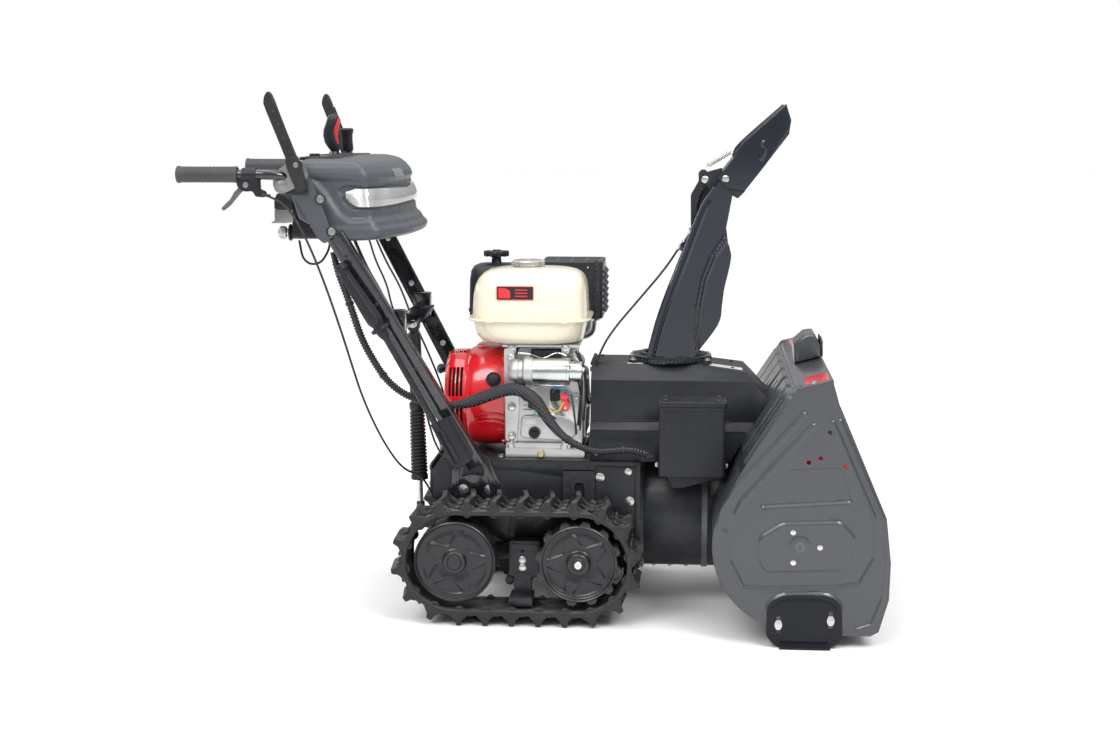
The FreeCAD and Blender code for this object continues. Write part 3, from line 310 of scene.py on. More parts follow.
def make_materials():
    """All finishes, by the name that the record and the pieces use."""
    m = {}
    m["frame_black"] = surface("frame_black", (0.0160, 0.0175, 0.0220), 0.36, grain_depth=0.16, dust=0.05,
                               specular=0.36)
    m["gloss_black"] = surface("gloss_black", (0.0075, 0.0085, 0.0120), 0.16, coat=0.8, wave=0.05,
                               mottle=0.05)
    m["housing_grey"] = surface("housing_grey", (0.038, 0.042, 0.049), 0.30, coat=0.5, coat_rough=0.15,
                                grain=1400, grain_depth=0.012, mottle=0.03, edge_wear_and_highlight=0.0)
    m["chute_black"] = surface("chute_black", (0.0050, 0.0085, 0.0165), 0.20, coat=0.7, coat_rough=0.06,
                               grain_depth=0.03, mottle=0.05, edge_wear_and_highlight=0.1, specular=0.35)
    m["moulded_black"] = surface("moulded_black", (0.0095, 0.0110, 0.0145), 0.44, grain=700, grain_depth=0.3,
                                 mottle=0.08, edge_wear_and_highlight=0.15, dust=0.05, specular=0.36)
    m["console_grey"] = surface("console_grey", (0.060, 0.068, 0.080), 0.40, grain=800, grain_depth=0.3,
                                mottle=0.05, edge_wear_and_highlight=0.08, dust=0.05)
    m["tank_white"] = surface("tank_white", (0.78, 0.715, 0.56), 0.25, coat=0.6, wave=0.03, mottle=0.02,
                              edge_wear_and_highlight=0.0)
    m["engine_red"] = surface("engine_red", (0.66, 0.006, 0.014), 0.22, coat=0.8, wave=0.05, mottle=0.05,
                              edge_wear_and_highlight=0.1)
    m["auger_red"] = surface("auger_red", (0.42, 0.012, 0.014), 0.35, coat=0.3, mottle=0.1, edge_wear_and_highlight=0.4)
    m["cast_alloy"] = surface("cast_alloy", (0.53, 0.53, 0.535), 0.42, metal=0.9, grain=420, grain_depth=0.5,
                              mottle=0.15, edge_wear_and_highlight=0.15)
    m["bright_steel"] = brushed("bright_steel", (0.66, 0.66, 0.63), 0.28, (1.0, 1.0, 6.0))
    m["track_rubber"] = surface("track_rubber", (0.0095, 0.0105, 0.0130), 0.60, grain=350, grain_depth=0.5,
                                mottle=0.25, edge_wear_and_highlight=0.3, dust=0.25)
    m["grip_rubber"] = surface("grip_rubber", (0.044, 0.046, 0.051), 0.55, grain=900, grain_depth=0.3,
                               edge_wear_and_highlight=0.1)
    m["belt_rubber"] = surface("belt_rubber", (0.02, 0.02, 0.02), 0.7, grain=500, grain_depth=0.4)
    m["cable_black"] = surface("cable_black", (0.0085, 0.0095, 0.0125), 0.34, grain=600, grain_depth=0.2,
                               edge_wear_and_highlight=0.0)
    m["braid"] = braided("braid", (0.013, 0.014, 0.017))
    m["wheel_black"] = surface("wheel_black", (0.0110, 0.0120, 0.0145), 0.30, grain=500, grain_depth=0.3,
                               mottle=0.15, edge_wear_and_highlight=0.25, dust=0.12)
    m["label_black"] = surface("label_black", (0.015, 0.012, 0.012), 0.3, grain_depth=0.05, edge_wear_and_highlight=0.0)
    m["drum_black"] = surface("drum_black", (0.062, 0.066, 0.074), 0.30, coat=0.3, grain_depth=0.10,
                              dust=0.05)
    m["badge_grey"] = surface("badge_grey", (0.17, 0.18, 0.19), 0.35, grain_depth=0.05, edge_wear_and_highlight=0.0)
    m["skid_black"] = surface("skid_black", (0.0110, 0.0120, 0.0160), 0.30, grain_depth=0.08, edge_wear_and_highlight=0.1,
                              specular=0.2)
    m["label_white"] = surface("label_white", (0.62, 0.63, 0.64), 0.45, grain_depth=0.05, edge_wear_and_highlight=0.0)
    m["lever_black"] = surface("lever_black", (0.012, 0.0125, 0.013), 0.42, grain_depth=0.2)
    m["trigger_grey"] = surface("trigger_grey", (0.09, 0.092, 0.095), 0.5, grain_depth=0.2)
    m["button_red"] = surface("button_red", (0.62, 0.018, 0.022), 0.35, grain_depth=0.1)
    m["bracket_zinc"] = brushed("bracket_zinc", (0.33, 0.325, 0.32), 0.42, (4.0, 1.0, 1.0))
    m["lamp_chrome"] = brushed("lamp_chrome", (0.86, 0.85, 0.80), 0.16, (1.0, 1.0, 1.0))
    m["zinc"] = brushed("zinc", (0.62, 0.66, 0.64), 0.22, (6.0, 1.0, 1.0))
    m["brass"] = surface("brass", (0.52, 0.43, 0.24), 0.35, metal=0.9, grain_depth=0.2)
    for colour, tint in (("blue", (0.02, 0.25, 0.5)), ("yellow", (0.75, 0.5, 0.03)),
                         ("green", (0.02, 0.35, 0.12)), ("red", (0.6, 0.02, 0.02))):
        m["wire_" + colour] = surface("wire_" + colour, tint, 0.4, grain_depth=0.05, edge_wear_and_highlight=0.0)
    # Near-black finish put into holes and slots: painted shade for the darkness inside them.
    m["painted_hole_shade"] = surface("painted_hole_shade", (0.003, 0.003, 0.003), 0.9, grain_depth=0.1, edge_wear_and_highlight=0.0)
    n = Nodes("clear_lens")
    ribs = n.noise(140.0, 1.0, 0.5, (0.2, 1.0, 0.05))
    n.set(Base_Color=(0.9, 0.92, 0.94), Roughness=n.spread(n.noise(40.0), 0.3, 0.7, 0.03, 0.09),
          Transmission_Weight=0.85, IOR=1.49, Normal=n.bump(ribs, 0.25, 0.001))
    m["clear_lens"] = n.material
    return m


MATERIALS = make_materials()


# ---------------------------------------------------------------- CAD nodes that stay in view
def dress_cad():
    """Give every CAD node its material, welded seams and slightly rounded edges."""
    widths = {"tracks": 1.5, "engine_block": 2.0, "auger_flights": 0.8, "chassis_frame": 1.2,
              "battery_box": 2.5, "console": 3.0, "muffler": 1.5, "belt_cover": 4.0, "fan_cover": 4.0,
              "fuel_tank": 2.0}
    slots = {row["node"]: row["material_slot"] for row in frame["record"]["subparts"]}
    for name, node in frame["nodes"].items():
        node.data.materials.clear()
        node.data.materials.append(MATERIALS[slots[name]])
        for polygon in node.data.polygons:
            polygon.use_smooth = True
        node.data.set_sharp_from_angle(angle=math.radians(28))
        weld = node.modifiers.new("weld", "WELD")
        weld.merge_threshold = 0.00002
        bevel = node.modifiers.new("bevel", "BEVEL")
        bevel.width = widths.get(name, 0.8) * MM
        bevel.segments = 2
        bevel.limit_method = "ANGLE"
        bevel.angle_limit = math.radians(35)
        bevel.use_clamp_overlap = True
        bevel.harden_normals = True


# ---------------------------------------------------------------- mesh tools
AXES = {"x": (1, 2, 0), "y": (0, 2, 1), "z": (0, 1, 2)}


def place_flat(u, v, w, axis):
    """Point from two outline coordinates and a depth along an axis."""
    point = [0.0, 0.0, 0.0]
    for value, index in zip((u, v, w), AXES[axis]):
        point[index] = value
    return Vector(point)


def frame_along(direction):
    """Matrix whose Z axis points along a direction."""
    return Vector(direction).to_track_quat("Z", "Y").to_matrix().to_4x4()


def turned(place, degrees, axis):
    """Matrix that turns a form about its own axis and moves it to a place."""
    return Matrix.Translation(place) @ Matrix.Rotation(math.radians(degrees), 4, axis)


def cos_sin(degrees):
    """Cosine and sine of an angle in degrees."""
    return math.cos(math.radians(degrees)), math.sin(math.radians(degrees))


def circle(count):
    """Angles of evenly spaced points on a circle, in radians."""
    return [2 * math.pi * i / count for i in range(count)]


def rectangle(left, low, right, high):
    """Outline of a plain rectangle."""
    return [(left, low), (right, low), (right, high), (left, high)]


def arc(cx, cy, radius, start, end, steps=12):
    """Points of an arc between two angles in degrees."""
    return [(cx + radius * math.cos(math.radians(start + (end - start) * i / steps)),
             cy + radius * math.sin(math.radians(start + (end - start) * i / steps)))
            for i in range(steps + 1)]


def rounded(points, radius, steps=5):
    """Outline with its corners rounded."""
    out = []
    count = len(points)
    for i in range(count):
        before, corner, after = (Vector(points[(i + k) % count]) for k in (-1, 0, 1))
        size = radius[i] if isinstance(radius, (list, tuple)) else radius
        a, b = before - corner, after - corner
        cut = min(size, a.length * 0.48, b.length * 0.48)
        start, end = corner + a.normalized() * cut, corner + b.normalized() * cut
        for k in range(steps + 1):
            t = k / steps
            point = start * (1 - t) ** 2 + corner * 2 * t * (1 - t) + end * t ** 2
            out.append((point.x, point.y))
    return out


def oblong(left, low, right, high, radius, steps=5):
    """Outline of a rectangle with rounded corners."""
    return rounded(rectangle(left, low, right, high), radius, steps)


def inside(points, outline):
    """Which of many points lie inside an outline."""
    x, y = points[:, 0], points[:, 1]
    hit = np.zeros(len(points), bool)
    for (x0, y0), (x1, y1) in zip(outline, outline[1:] + outline[:1]):
        if y0 != y1:
            hit ^= ((y0 > y) != (y1 > y)) & (x < (x1 - x0) * (y - y0) / (y1 - y0) + x0)
    return hit


def line_distance(points, line):
    """Distances from many points to a polyline."""
    best = np.full(len(points), 1e9)
    for start, end in zip(line, line[1:]):
        run = np.subtract(end, start)
        size = float(run @ run)
        if size:
            away = points - start
            share = np.clip(away @ run / size, 0.0, 1.0)
            best = np.minimum(best, np.hypot(*(away - share[:, None] * run).T))
    return best


def smooth_step(value):
    """Smooth rise from 0 to 1."""
    t = np.clip(value, 0.0, 1.0)
    return t * t * (3 - 2 * t)


class Piece:
    """One visible piece, collected in millimetres from several bevelled forms."""

    def __init__(self, name, body, slot, finish=None):
        self.name, self.body, self.slot = name, body, slot
        self.bm = bmesh.new()
        self.finishes = [finish or slot]
        self.paint = 0

    def use(self, finish):
        """Later forms get this finish."""
        if finish not in self.finishes:
            self.finishes.append(finish)
        self.paint = self.finishes.index(finish)
        return self

    def take(self, part, bevel=0.0, matrix=None, segments=2, angle=30):
        """Add a form that was made in its own bmesh."""
        if bevel:
            limit = math.radians(angle)
            edges = [e for e in part.edges if len(e.link_faces) == 2 and e.calc_face_angle(0) > limit]
            bmesh.ops.bevel(part, geom=edges, offset=bevel, segments=segments, affect="EDGES",
                            clamp_overlap=True, profile=0.6)
        if matrix is not None:
            part.transform(matrix)
        for face in part.faces:
            face.material_index = self.paint
        return self.absorb(part)

    def absorb(self, part):
        """Move a form's faces into this piece as they are."""
        mesh = bpy.data.meshes.new("part")
        part.to_mesh(mesh)
        part.free()
        self.bm.from_mesh(mesh)
        bpy.data.meshes.remove(mesh)
        return self

    def box(self, lo, hi, bevel=1.0, matrix=None, segments=2):
        """Bevelled box between two corners."""
        part = bmesh.new()
        bmesh.ops.create_cube(part, size=1.0)
        lo, hi = Vector(lo), Vector(hi)
        part.transform(Matrix.Translation((lo + hi) / 2) @ Matrix.Diagonal((*(hi - lo), 1.0)))
        return self.take(part, bevel, matrix, segments)

    def prism(self, outline, start, end, axis="y", bevel=1.0, matrix=None, segments=2):
        """Outline with a depth along an axis."""
        part = bmesh.new()
        lows = [part.verts.new(place_flat(u, v, start, axis)) for u, v in outline]
        highs = [part.verts.new(place_flat(u, v, end, axis)) for u, v in outline]
        part.faces.new(lows)
        part.faces.new(highs[::-1])
        count = len(outline)
        for i in range(count):
            j = (i + 1) % count
            part.faces.new((lows[j], lows[i], highs[i], highs[j]))
        bmesh.ops.recalc_face_normals(part, faces=part.faces)
        return self.take(part, bevel, matrix, segments, angle=35)

    def lathe(self, profile, place, direction, sides=40, bevel=0.0, closed=False):
        """Profile of (radius, height) turned round a direction."""
        part = bmesh.new()
        rings = []
        for radius, height in profile:
            if radius < 1e-6:
                rings.append([part.verts.new((0, 0, height))])
                continue
            rings.append([part.verts.new((radius * math.cos(2 * math.pi * i / sides),
                                          radius * math.sin(2 * math.pi * i / sides), height))
                          for i in range(sides)])
        pairs = list(zip(rings, rings[1:]))
        if closed:
            pairs.append((rings[-1], rings[0]))
        for a, b in pairs:
            for i in range(sides):
                j = (i + 1) % sides
                corners = [a[i % len(a)], a[j % len(a)], b[j % len(b)], b[i % len(b)]]
                unique = list(dict.fromkeys(corners))
                if len(unique) > 2:
                    part.faces.new(unique)
        bmesh.ops.recalc_face_normals(part, faces=part.faces)
        return self.take(part, bevel, Matrix.Translation(Vector(place)) @ frame_along(direction))

    def disc(self, radius, height, place, direction, sides=40, bevel=0.0):
        """Plain round disc."""
        profile = rectangle(0, 0, radius, height)
        return self.lathe(profile, place, direction, sides, bevel)

    def rod(self, start, end, radius, bevel=1.0, sides=32, end_radius=None):
        """Round bar between two points, tapered where an end radius is given."""
        start, end = Vector(start), Vector(end)
        length = (end - start).length
        far = radius if end_radius is None else end_radius
        b = min(bevel, radius * 0.5, length * 0.4)
        profile = [(0, 0), (radius - b, 0), (radius, b), (far, length - b), (far - b, length), (0, length)]
        return self.lathe(profile, start, end - start, sides)

    def pipe(self, points, radius, sides=12, steps=6):
        """Smooth tube through points, with capped ends."""
        route = smooth_route(points, steps)
        part = bmesh.new()
        rings = []
        normal = None
        for i, here in enumerate(route):
            along = (route[min(i + 1, len(route) - 1)] - route[max(i - 1, 0)]).normalized()
            if normal is None:
                normal = along.orthogonal().normalized()
            normal = (normal - along * normal.dot(along)).normalized()
            side = along.cross(normal)
            size = radius(i / (len(route) - 1)) if callable(radius) else radius
            rings.append([part.verts.new(here + normal * size * math.cos(2 * math.pi * k / sides)
                                         + side * size * math.sin(2 * math.pi * k / sides))
                          for k in range(sides)])
        for a, b in zip(rings, rings[1:]):
            for k in range(sides):
                j = (k + 1) % sides
                part.faces.new((a[k], a[j], b[j], b[k]))
        part.faces.new(rings[0][::-1])
        part.faces.new(rings[-1])
        bmesh.ops.recalc_face_normals(part, faces=part.faces)
        return self.take(part)

    def loft(self, rings, bevel=0.0, caps=True):
        """Skin through rings that have the same number of points."""
        part = bmesh.new()
        rows = [[part.verts.new(Vector(p)) for p in ring] for ring in rings]
        for a, b in zip(rows, rows[1:]):
            count = len(a)
            for i in range(count):
                j = (i + 1) % count
                part.faces.new((a[i], a[j], b[j], b[i]))
        if caps:
            part.faces.new(rows[0][::-1])
            part.faces.new(rows[-1])
        bmesh.ops.recalc_face_normals(part, faces=part.faces)
        return self.take(part, bevel)

    def bolt(self, place, direction, size=7.0, head=5.0, washer=1.35, finish="bright_steel"):
        """Flanged hexagon bolt head with a domed top."""
        keep = self.paint
        self.use(finish)
        flange = [(0, 0), (size * washer, 0), (size * washer, head * 0.14), (size * 1.08, head * 0.30),
                  (0, head * 0.30)]
        self.lathe(flange, place, direction, 28)
        part = bmesh.new()
        bmesh.ops.create_cone(part, cap_ends=True, segments=6, radius1=size, radius2=size, depth=head * 0.75)
        part.transform(Matrix.Translation((0, 0, head * 0.62)))
        self.take(part, size * 0.13, Matrix.Translation(Vector(place)) @ frame_along(direction))
        self.paint = keep
        return self

    def screw(self, place, direction, size=4.5, head=2.6, finish="bright_steel"):
        """Round-headed cross screw."""
        keep = self.paint
        self.use(finish)
        profile = [(0, 0), (size, 0), (size, head * 0.4), (size * 0.75, head * 0.85), (size * 0.3, head),
                   (0, head)]
        self.lathe(profile, place, direction, 20)
        self.paint = keep
        return self

    def copy_parts(self, matrices):
        """Repeat all forms so far at several places."""
        base = self.bm.copy()
        self.bm.clear()
        for matrix in matrices:
            part = base.copy()
            part.transform(matrix)
            self.absorb(part)
        base.free()
        return self

    def mirror(self):
        """Add the mirrored half on the other side of the machine."""
        part = self.bm.copy()
        part.transform(Matrix.Diagonal((1, -1, 1, 1)))
        bmesh.ops.reverse_faces(part, faces=part.faces)
        return self.absorb(part)

    def flipped(self):
        """Turn the piece into its mirror image."""
        self.bm.transform(Matrix.Diagonal((1, -1, 1, 1)))
        bmesh.ops.reverse_faces(self.bm, faces=self.bm.faces)
        return self

    def done(self, *replaced, angle=32):
        """Make the object, put it on its body and hide the CAD nodes it stands for."""
        self.bm.transform(Matrix.Scale(MM, 4))
        mesh = bpy.data.meshes.new(self.name)
        self.bm.to_mesh(mesh)
        self.bm.free()
        for finish in self.finishes:
            mesh.materials.append(MATERIALS[finish])
        for polygon in mesh.polygons:
            polygon.use_smooth = True
        mesh.set_sharp_from_angle(angle=math.radians(angle))
        piece = bpy.data.objects.new(self.name, mesh)
        bpy.context.scene.collection.objects.link(piece)
        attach(piece, self.body)
        if replaced:
            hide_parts(*replaced)
        return piece


def smooth_route(points, steps):
    """Catmull-Rom line through given points."""
    points = [Vector(p) for p in points]
    if len(points) < 3 or steps < 2:
        return points
    ends = [points[0] * 2 - points[1], *points, points[-1] * 2 - points[-2]]
    route = []
    for a, b, c, d in zip(ends, ends[1:], ends[2:], ends[3:]):
        for k in range(steps):
            t = k / steps
            route.append(0.5 * (2 * b + (c - a) * t + (2 * a - 5 * b + 4 * c - d) * t * t
                                + (3 * b - a - 3 * c + d) * t ** 3))
    return route + [points[-1]]


def pressed_sheet(piece, outline, holes, height, place, back, fine=2.6, coarse=14.0, edge=6.0):
    """Sheet with a pressed relief: fine triangles where the height changes, coarse ones elsewhere.

    height(points) gives the relief, place(u, v, h) the point at height h over the sheet, and
    back is the sheet's thickness.
    """
    rings = [resample(outline, edge)] + [resample(hole, fine) for hole in holes]
    edges, fixed = [], []
    for ring in rings:
        first = len(fixed)
        fixed += [tuple(p) for p in ring]
        edges += [(first + i, first + (i + 1) % len(ring)) for i in range(len(ring))]
    low, high = np.min(outline, axis=0), np.max(outline, axis=0)
    cell = coarse / 2
    u, v = np.meshgrid(np.arange(low[0] + cell / 2, high[0], cell),
                       np.arange(low[1] + cell / 2, high[1], cell))
    cells = np.column_stack((u.ravel(), v.ravel()))
    shifts = np.array([(a, b) for a in np.linspace(-1, 1, 5) for b in np.linspace(-1, 1, 5)]) * cell * 0.75
    spots = np.array([height(cells + shift) for shift in shifts])
    busy = np.ptp(spots, axis=0) > 0.08
    rows, columns = np.indices(u.shape)
    calm = cells[~busy & ((rows + columns).ravel() % 2 == 0)]
    count = max(1, round(cell / fine))
    steps = ((np.arange(count) + 0.5) / count - 0.5) * cell
    dense = [cells[busy] + (a, b) for a in steps for b in steps]
    inner = np.vstack([calm] + dense)
    keep = inside(inner, outline) & (line_distance(inner, outline + outline[:1]) > 1.2)
    for hole in holes:
        keep &= ~inside(inner, hole) & (line_distance(inner, hole + hole[:1]) > 1.0)
    points = [Vector(p) for p in fixed] + [Vector(p) for p in inner[keep]]
    found, _, faces, _, _, _ = delaunay_2d_cdt(points, edges, [], 0, 1e-4)
    flat = np.array([(p.x, p.y) for p in found])
    levels = height(flat)
    middles = np.array([flat[list(face)].mean(axis=0) for face in faces])
    wanted = inside(middles, outline)
    for hole in holes:
        wanted &= ~inside(middles, hole)
    part = bmesh.new()
    tops = [part.verts.new(place(x, y, h)) for (x, y), h in zip(flat, levels)]
    lows = [part.verts.new(place(x, y, h - back)) for (x, y), h in zip(flat, levels)]
    rim = set()
    for face, take in zip(faces, wanted):
        if not take:
            continue
        part.faces.new([tops[i] for i in face])
        part.faces.new([lows[i] for i in reversed(face)])
        rim.update(zip(face, face[1:] + face[:1]))
    for a, b in sorted(rim):
        if (b, a) not in rim:
            part.faces.new((tops[b], tops[a], lows[a], lows[b]))
    loose = [v for v in part.verts if not v.link_faces]
    bmesh.ops.delete(part, geom=loose, context="VERTS")
    bmesh.ops.recalc_face_normals(part, faces=part.faces)
    return piece.take(part)


def resample(ring, step):
    """Closed ring with extra points on its long runs."""
    out = []
    for a, b in zip(ring, ring[1:] + ring[:1]):
        a, b = Vector(a), Vector(b)
        count = max(1, math.ceil((b - a).length / step))
        out += [tuple(a.lerp(b, k / count)) for k in range(count)]
    return out


def ridge(points, line, half_width, height):
    """Height of a rounded bead along a line."""
    return height * smooth_step(1 - line_distance(points, line) / half_width)


def plateau(points, outline, ramp, height):
    """Raised field with a sloped border."""
    far = line_distance(points, outline + outline[:1])
    signed = np.where(inside(points, outline), far, -far)
    return height * smooth_step(0.5 + signed / ramp)


def superellipse(cx, cy, half_x, half_y, power, count):
    """Outline between an ellipse and a rectangle: the higher the power, the squarer."""
    outline = []
    for angle in circle(count):
        c, s = math.cos(angle), math.sin(angle)
        outline.append((cx + half_x * math.copysign(abs(c) ** (2 / power), c),
                        cy + half_y * math.copysign(abs(s) ** (2 / power), s)))
    return outline


def super_ring(cx, cy, half_x, half_y, power, z, count):
    """Superellipse level with the ground."""
    return [(x, y, z) for x, y in superellipse(cx, cy, half_x, half_y, power, count)]


# ---------------------------------------------------------------- cords
def route_metres(points):
    """Route in metres from one in millimetres."""
    return [tuple(value * MM for value in point) for point in points]


def cord_curve(name, points, radius, finish, body="chassis"):
    """NURBS cord through its route, in metres."""
    data = bpy.data.curves.new(name, "CURVE")
    data.dimensions = "3D"
    data.bevel_depth = radius * MM
    data.bevel_resolution = 4
    data.resolution_u = 8
    data.use_fill_caps = True
    spline = data.splines.new("NURBS")
    spline.points.add(len(points) - 1)
    for target, point in zip(spline.points, route_metres(points)):
        target.co = (*point, 1.0)
    spline.order_u = 3
    spline.use_endpoint_u = True
    data.materials.append(MATERIALS[finish])
    cord = bpy.data.objects.new(name, data)
    bpy.context.scene.collection.objects.link(cord)
    if body:
        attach(cord, body)
    return cord


HARNESS = [(-448, -222, 830), (-437, -226, 786), (-419, -228, 740), (-403, -226, 688), (-387, -220, 635),
           (-363, -212, 586), (-335, -202, 539), (-297, -183, 504), (-251, -170, 487), (-203, -163, 478),
           (-157, -160, 484), (-105, -164, 506), (-49, -172, 524), (-3, -186, 502), (25, -194, 458),
           (54, -200, 423), (95, -204, 397), (140, -204, 384), (185, -203, 390), (227, -201, 390),
           (263, -197, 374)]
STEERING_RIGHT = [(-580, -322, 962), (-547, -322, 952), (-518, -320, 926), (-493, -320, 881),
                  (-470, -320, 829), (-446, -322, 767), (-425, -324, 706), (-406, -326, 648),
                  (-389, -326, 591), (-371, -324, 531), (-349, -318, 473), (-323, -306, 415),
                  (-299, -280, 368), (-286, -236, 342), (-273, -192, 326), (-259, -158, 306),
                  (-243, -152.6, 272)]
DEFLECTOR_CABLE = [(128, -82, 566), (142, -74, 606), (172, -62, 650), (206, -52, 690), (240, -46, 730),
                   (272, -42, 768), (296, -40, 800), (312, -40, 826)]


def make_cords():
    """Harness, steering cables and clutch cables along their listed routes."""
    harness = cord_curve("wiring_harness", HARNESS, 6.5, "braid")
    left = [(x - 8 * (i % 2), -y + 2, z) for i, (x, y, z) in enumerate(STEERING_RIGHT)]
    for name, route in (("steering_cable_right", STEERING_RIGHT), ("steering_cable_left", left)):
        cord_curve(name, route, 2.5, "cable_black")
    for i, (x, y) in enumerate(((-440, -140), (-430, -100), (-436, -60), (-430, 150))):
        route = [(x, y, 862), (x + 28, y * 0.98, 790), (x + 68, y * 0.96 + 6, 720),
                 (x + 96, y * 0.9, 650), (x + 138, y * 0.84 - 4, 565), (x + 172, y * 0.8, 480),
                 (x + 188, y * 0.8 + 2, 415), (x + 202, y * 0.8, 374), (x + 216, y * 0.8 - 2, 353)]
        cord_curve("clutch_cable_%d" % i, route, 2.5, "cable_black")
    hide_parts("cables")
    make_deflector_cable()
    return harness


def make_deflector_cable():
    """Tube along a curved route between the belt cover and the turning chute."""
    curve = cord_curve("deflector_cable_route", DEFLECTOR_CABLE, 2.5, "cable_black", None)
    path = [tuple(point * MM) for point in centre_line(curve)]
    tube = bpy.data.objects.new("deflector_cable_outer", bpy.data.meshes.new_from_object(curve))
    bpy.data.objects.remove(curve)
    bpy.context.scene.collection.objects.link(tube)
    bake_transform(tube)
    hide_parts("deflector_cable")


# ---------------------------------------------------------------- auger housing
PLATE_OUTLINE = [(572, 562), (642, 580), (656, 529), (661, 518), (761, 285), (772, 190), (770, 109),
                 (750, 38), (734, 29), (600, 29), *arc(*AUGER, HOUSING_R, 270, 144, 30), (448, 367),
                 (483, 426)]
SIGHT_HOLES = ((639, 469), (621, 413), (596, 404), (672, 396))
BEARING_BOLTS = ((566, 254), (623, 222), (567, 188))
SKID_BOLTS = ((538, 51), (649, 62))
BACK_KNOTS = [Vector((452, 373)), Vector((483, 426)), Vector((568, 556.5))]
BACK_RUNS = [(b - a).length for a, b in zip(BACK_KNOTS, BACK_KNOTS[1:])]


def plate_relief(points):
    """Pressed relief of a housing side plate, in millimetres over its flat face."""
    rear = [(586, 508), (506, 418), (436, 341), (414, 300), (406, 262)]
    inner = [(606, 484), (529, 401), (456, 318), (443, 290)]
    front = [(645, 492), (736, 288), (739, 199), (708, 140)]
    border = [(660, 494), (756, 283), (766, 190), (759, 112), (736, 52), (706, 42)]
    belly = [(422, 250), (431, 188), (462, 128), (512, 126), (664, 132), (708, 140)]
    height = ridge(points, rear, 6.5, 4.4) + ridge(points, inner, 6.0, 4.0) + ridge(points, front, 5.5, 4.0)
    for line, half_width, rise in ((border, 6.5, 3.8), (belly, 8.0, 3.0)):
        height = np.maximum(height, ridge(points, line, half_width, rise))
    trapezoid = rounded([(494, 306), (550, 388), (664, 394), (690, 320)], 12)
    bearing = rounded([(495, 241), (542, 272), (667, 277), (697, 245), (694, 210), (676, 172), (508, 166),
                       (491, 199)], 10)
    arch = rounded([(508, 40), (510, 88), (526, 108), (546, 119), (640, 121), (662, 110), (676, 88),
                    (678, 40)], 12)
    height += plateau(points, trapezoid, 6.0, -4.6)
    height += plateau(points, bearing, 5.0, 4.2)
    height += plateau(points, arch, 8.0, 5.0)
    hub = np.hypot(points[:, 0] - AUGER[0], points[:, 1] - AUGER[1])
    return height + 1.6 * smooth_step((25 - hub) / 4.0)


def make_side_plates():
    """Pressed side plates of the auger housing with the bearing flange of the auger."""
    holes = [arc(x, z, 5.0, 0, 342, 19) for x, z in SIGHT_HOLES]
    for side, label in ((-1, "right"), (1, "left")):
        piece = Piece("side_plate_" + label, "chassis", "housing_grey")
        pressed_sheet(piece, PLATE_OUTLINE, holes, plate_relief,
                      lambda u, v, h, s=side: Vector((u, s * (HOUSING_HALF - 0.5 + h), v)), 3.0)
        rim = [Vector((u, side * (HOUSING_HALF - 1.6), v)) for u, v in PLATE_OUTLINE]
        piece.pipe(rim + rim[:1], 1.9, sides=8, steps=1)
        piece.done(*(["side_plates"] if side < 0 else []), angle=50)

        trim = Piece("bearing_flange_" + label, "chassis", "frame_black", "housing_grey")
        face = side * (HOUSING_HALF + 3.2)
        out = (0, side, 0)
        centre = (AUGER[0], face, AUGER[1])
        trim.lathe([(14.3, -4), (27, -4), (27, -0.6), (24, 1.0), (20, 1.2), (18.5, 0.2), (14.3, 0.2)],
                   centre, out, 48)
        trim.use("drum_black")
        trim.lathe([(0, -3), (11.5, -3), (11.5, 1.6), (10.2, 2.8), (4.4, 2.8), (3.2, 1.2), (0, 1.2)],
                   centre, out, 40)
        for x, z in BEARING_BOLTS:
            trim.bolt((x, side * (HOUSING_HALF + 1.6), z), out, 6.8, 5.0)
        trim.done()


def make_skid_shoes():
    """Bent steel runner with two slots; the sole turns out under the housing."""
    face = HOUSING_HALF + 4.0
    outline = rounded([(512, 26), (532, 2), (655, 2), (675, 26), (672, 96), (652, 114), (600, 119),
                       (552, 116), (524, 104), (513, 88)], [9, 22, 22, 9, 16, 22, 40, 22, 14, 10], 6)

    def relief(points):
        field = rounded([(522, 30), (540, 14), (648, 14), (665, 32), (662, 88), (644, 104), (600, 108),
                         (552, 106), (530, 96), (522, 80)], 12)
        slots = sum(ridge(points, [(x, z - 15), (x, z + 15)], 9.5, 1.4) for x, z in SKID_BOLTS)
        return plateau(points, field, 6.0, 1.8) - slots

    for side, label in ((-1, "right"), (1, "left")):
        piece = Piece("skid_shoe_" + label, "chassis", "frame_black", "skid_black")
        slots = [oblong(x - 4.5, z - 20, x + 4.5, z + 20, 4.4, 5) for x, z in SKID_BOLTS]
        pressed_sheet(piece, outline, slots, relief,
                      lambda u, v, h, s=side: Vector((u, s * (face + 2.0 + h), v)), 4.5, fine=2.2)
        sole = [(0, 0.2), (12, 0.2), (14, 1.2), (14, 4.0), (12, 5.2), (3, 6.2), (0, 9.0)]
        piece.loft([[(x, side * (face + 1 + out), z) for out, z in sole] for x in range(540, 649, 6)])
        for x, z in SKID_BOLTS:
            piece.bolt((x, side * (face + 2.2), z), (0, side, 0), 6.4, 5.6, washer=1.75)
        piece.done(*(["skid_shoes"] if side < 0 else []), angle=45)


def back_profile(share):
    """Point and outward direction on the sloping back of the housing, from its low edge to the top lip."""
    run = share * sum(BACK_RUNS)
    index = 0 if run < BACK_RUNS[0] else 1
    start, end = BACK_KNOTS[index], BACK_KNOTS[index + 1]
    along = (end - start).normalized()
    here = start + along * (run - (BACK_RUNS[0] if index else 0))
    return here, Vector((-along.y, along.x))


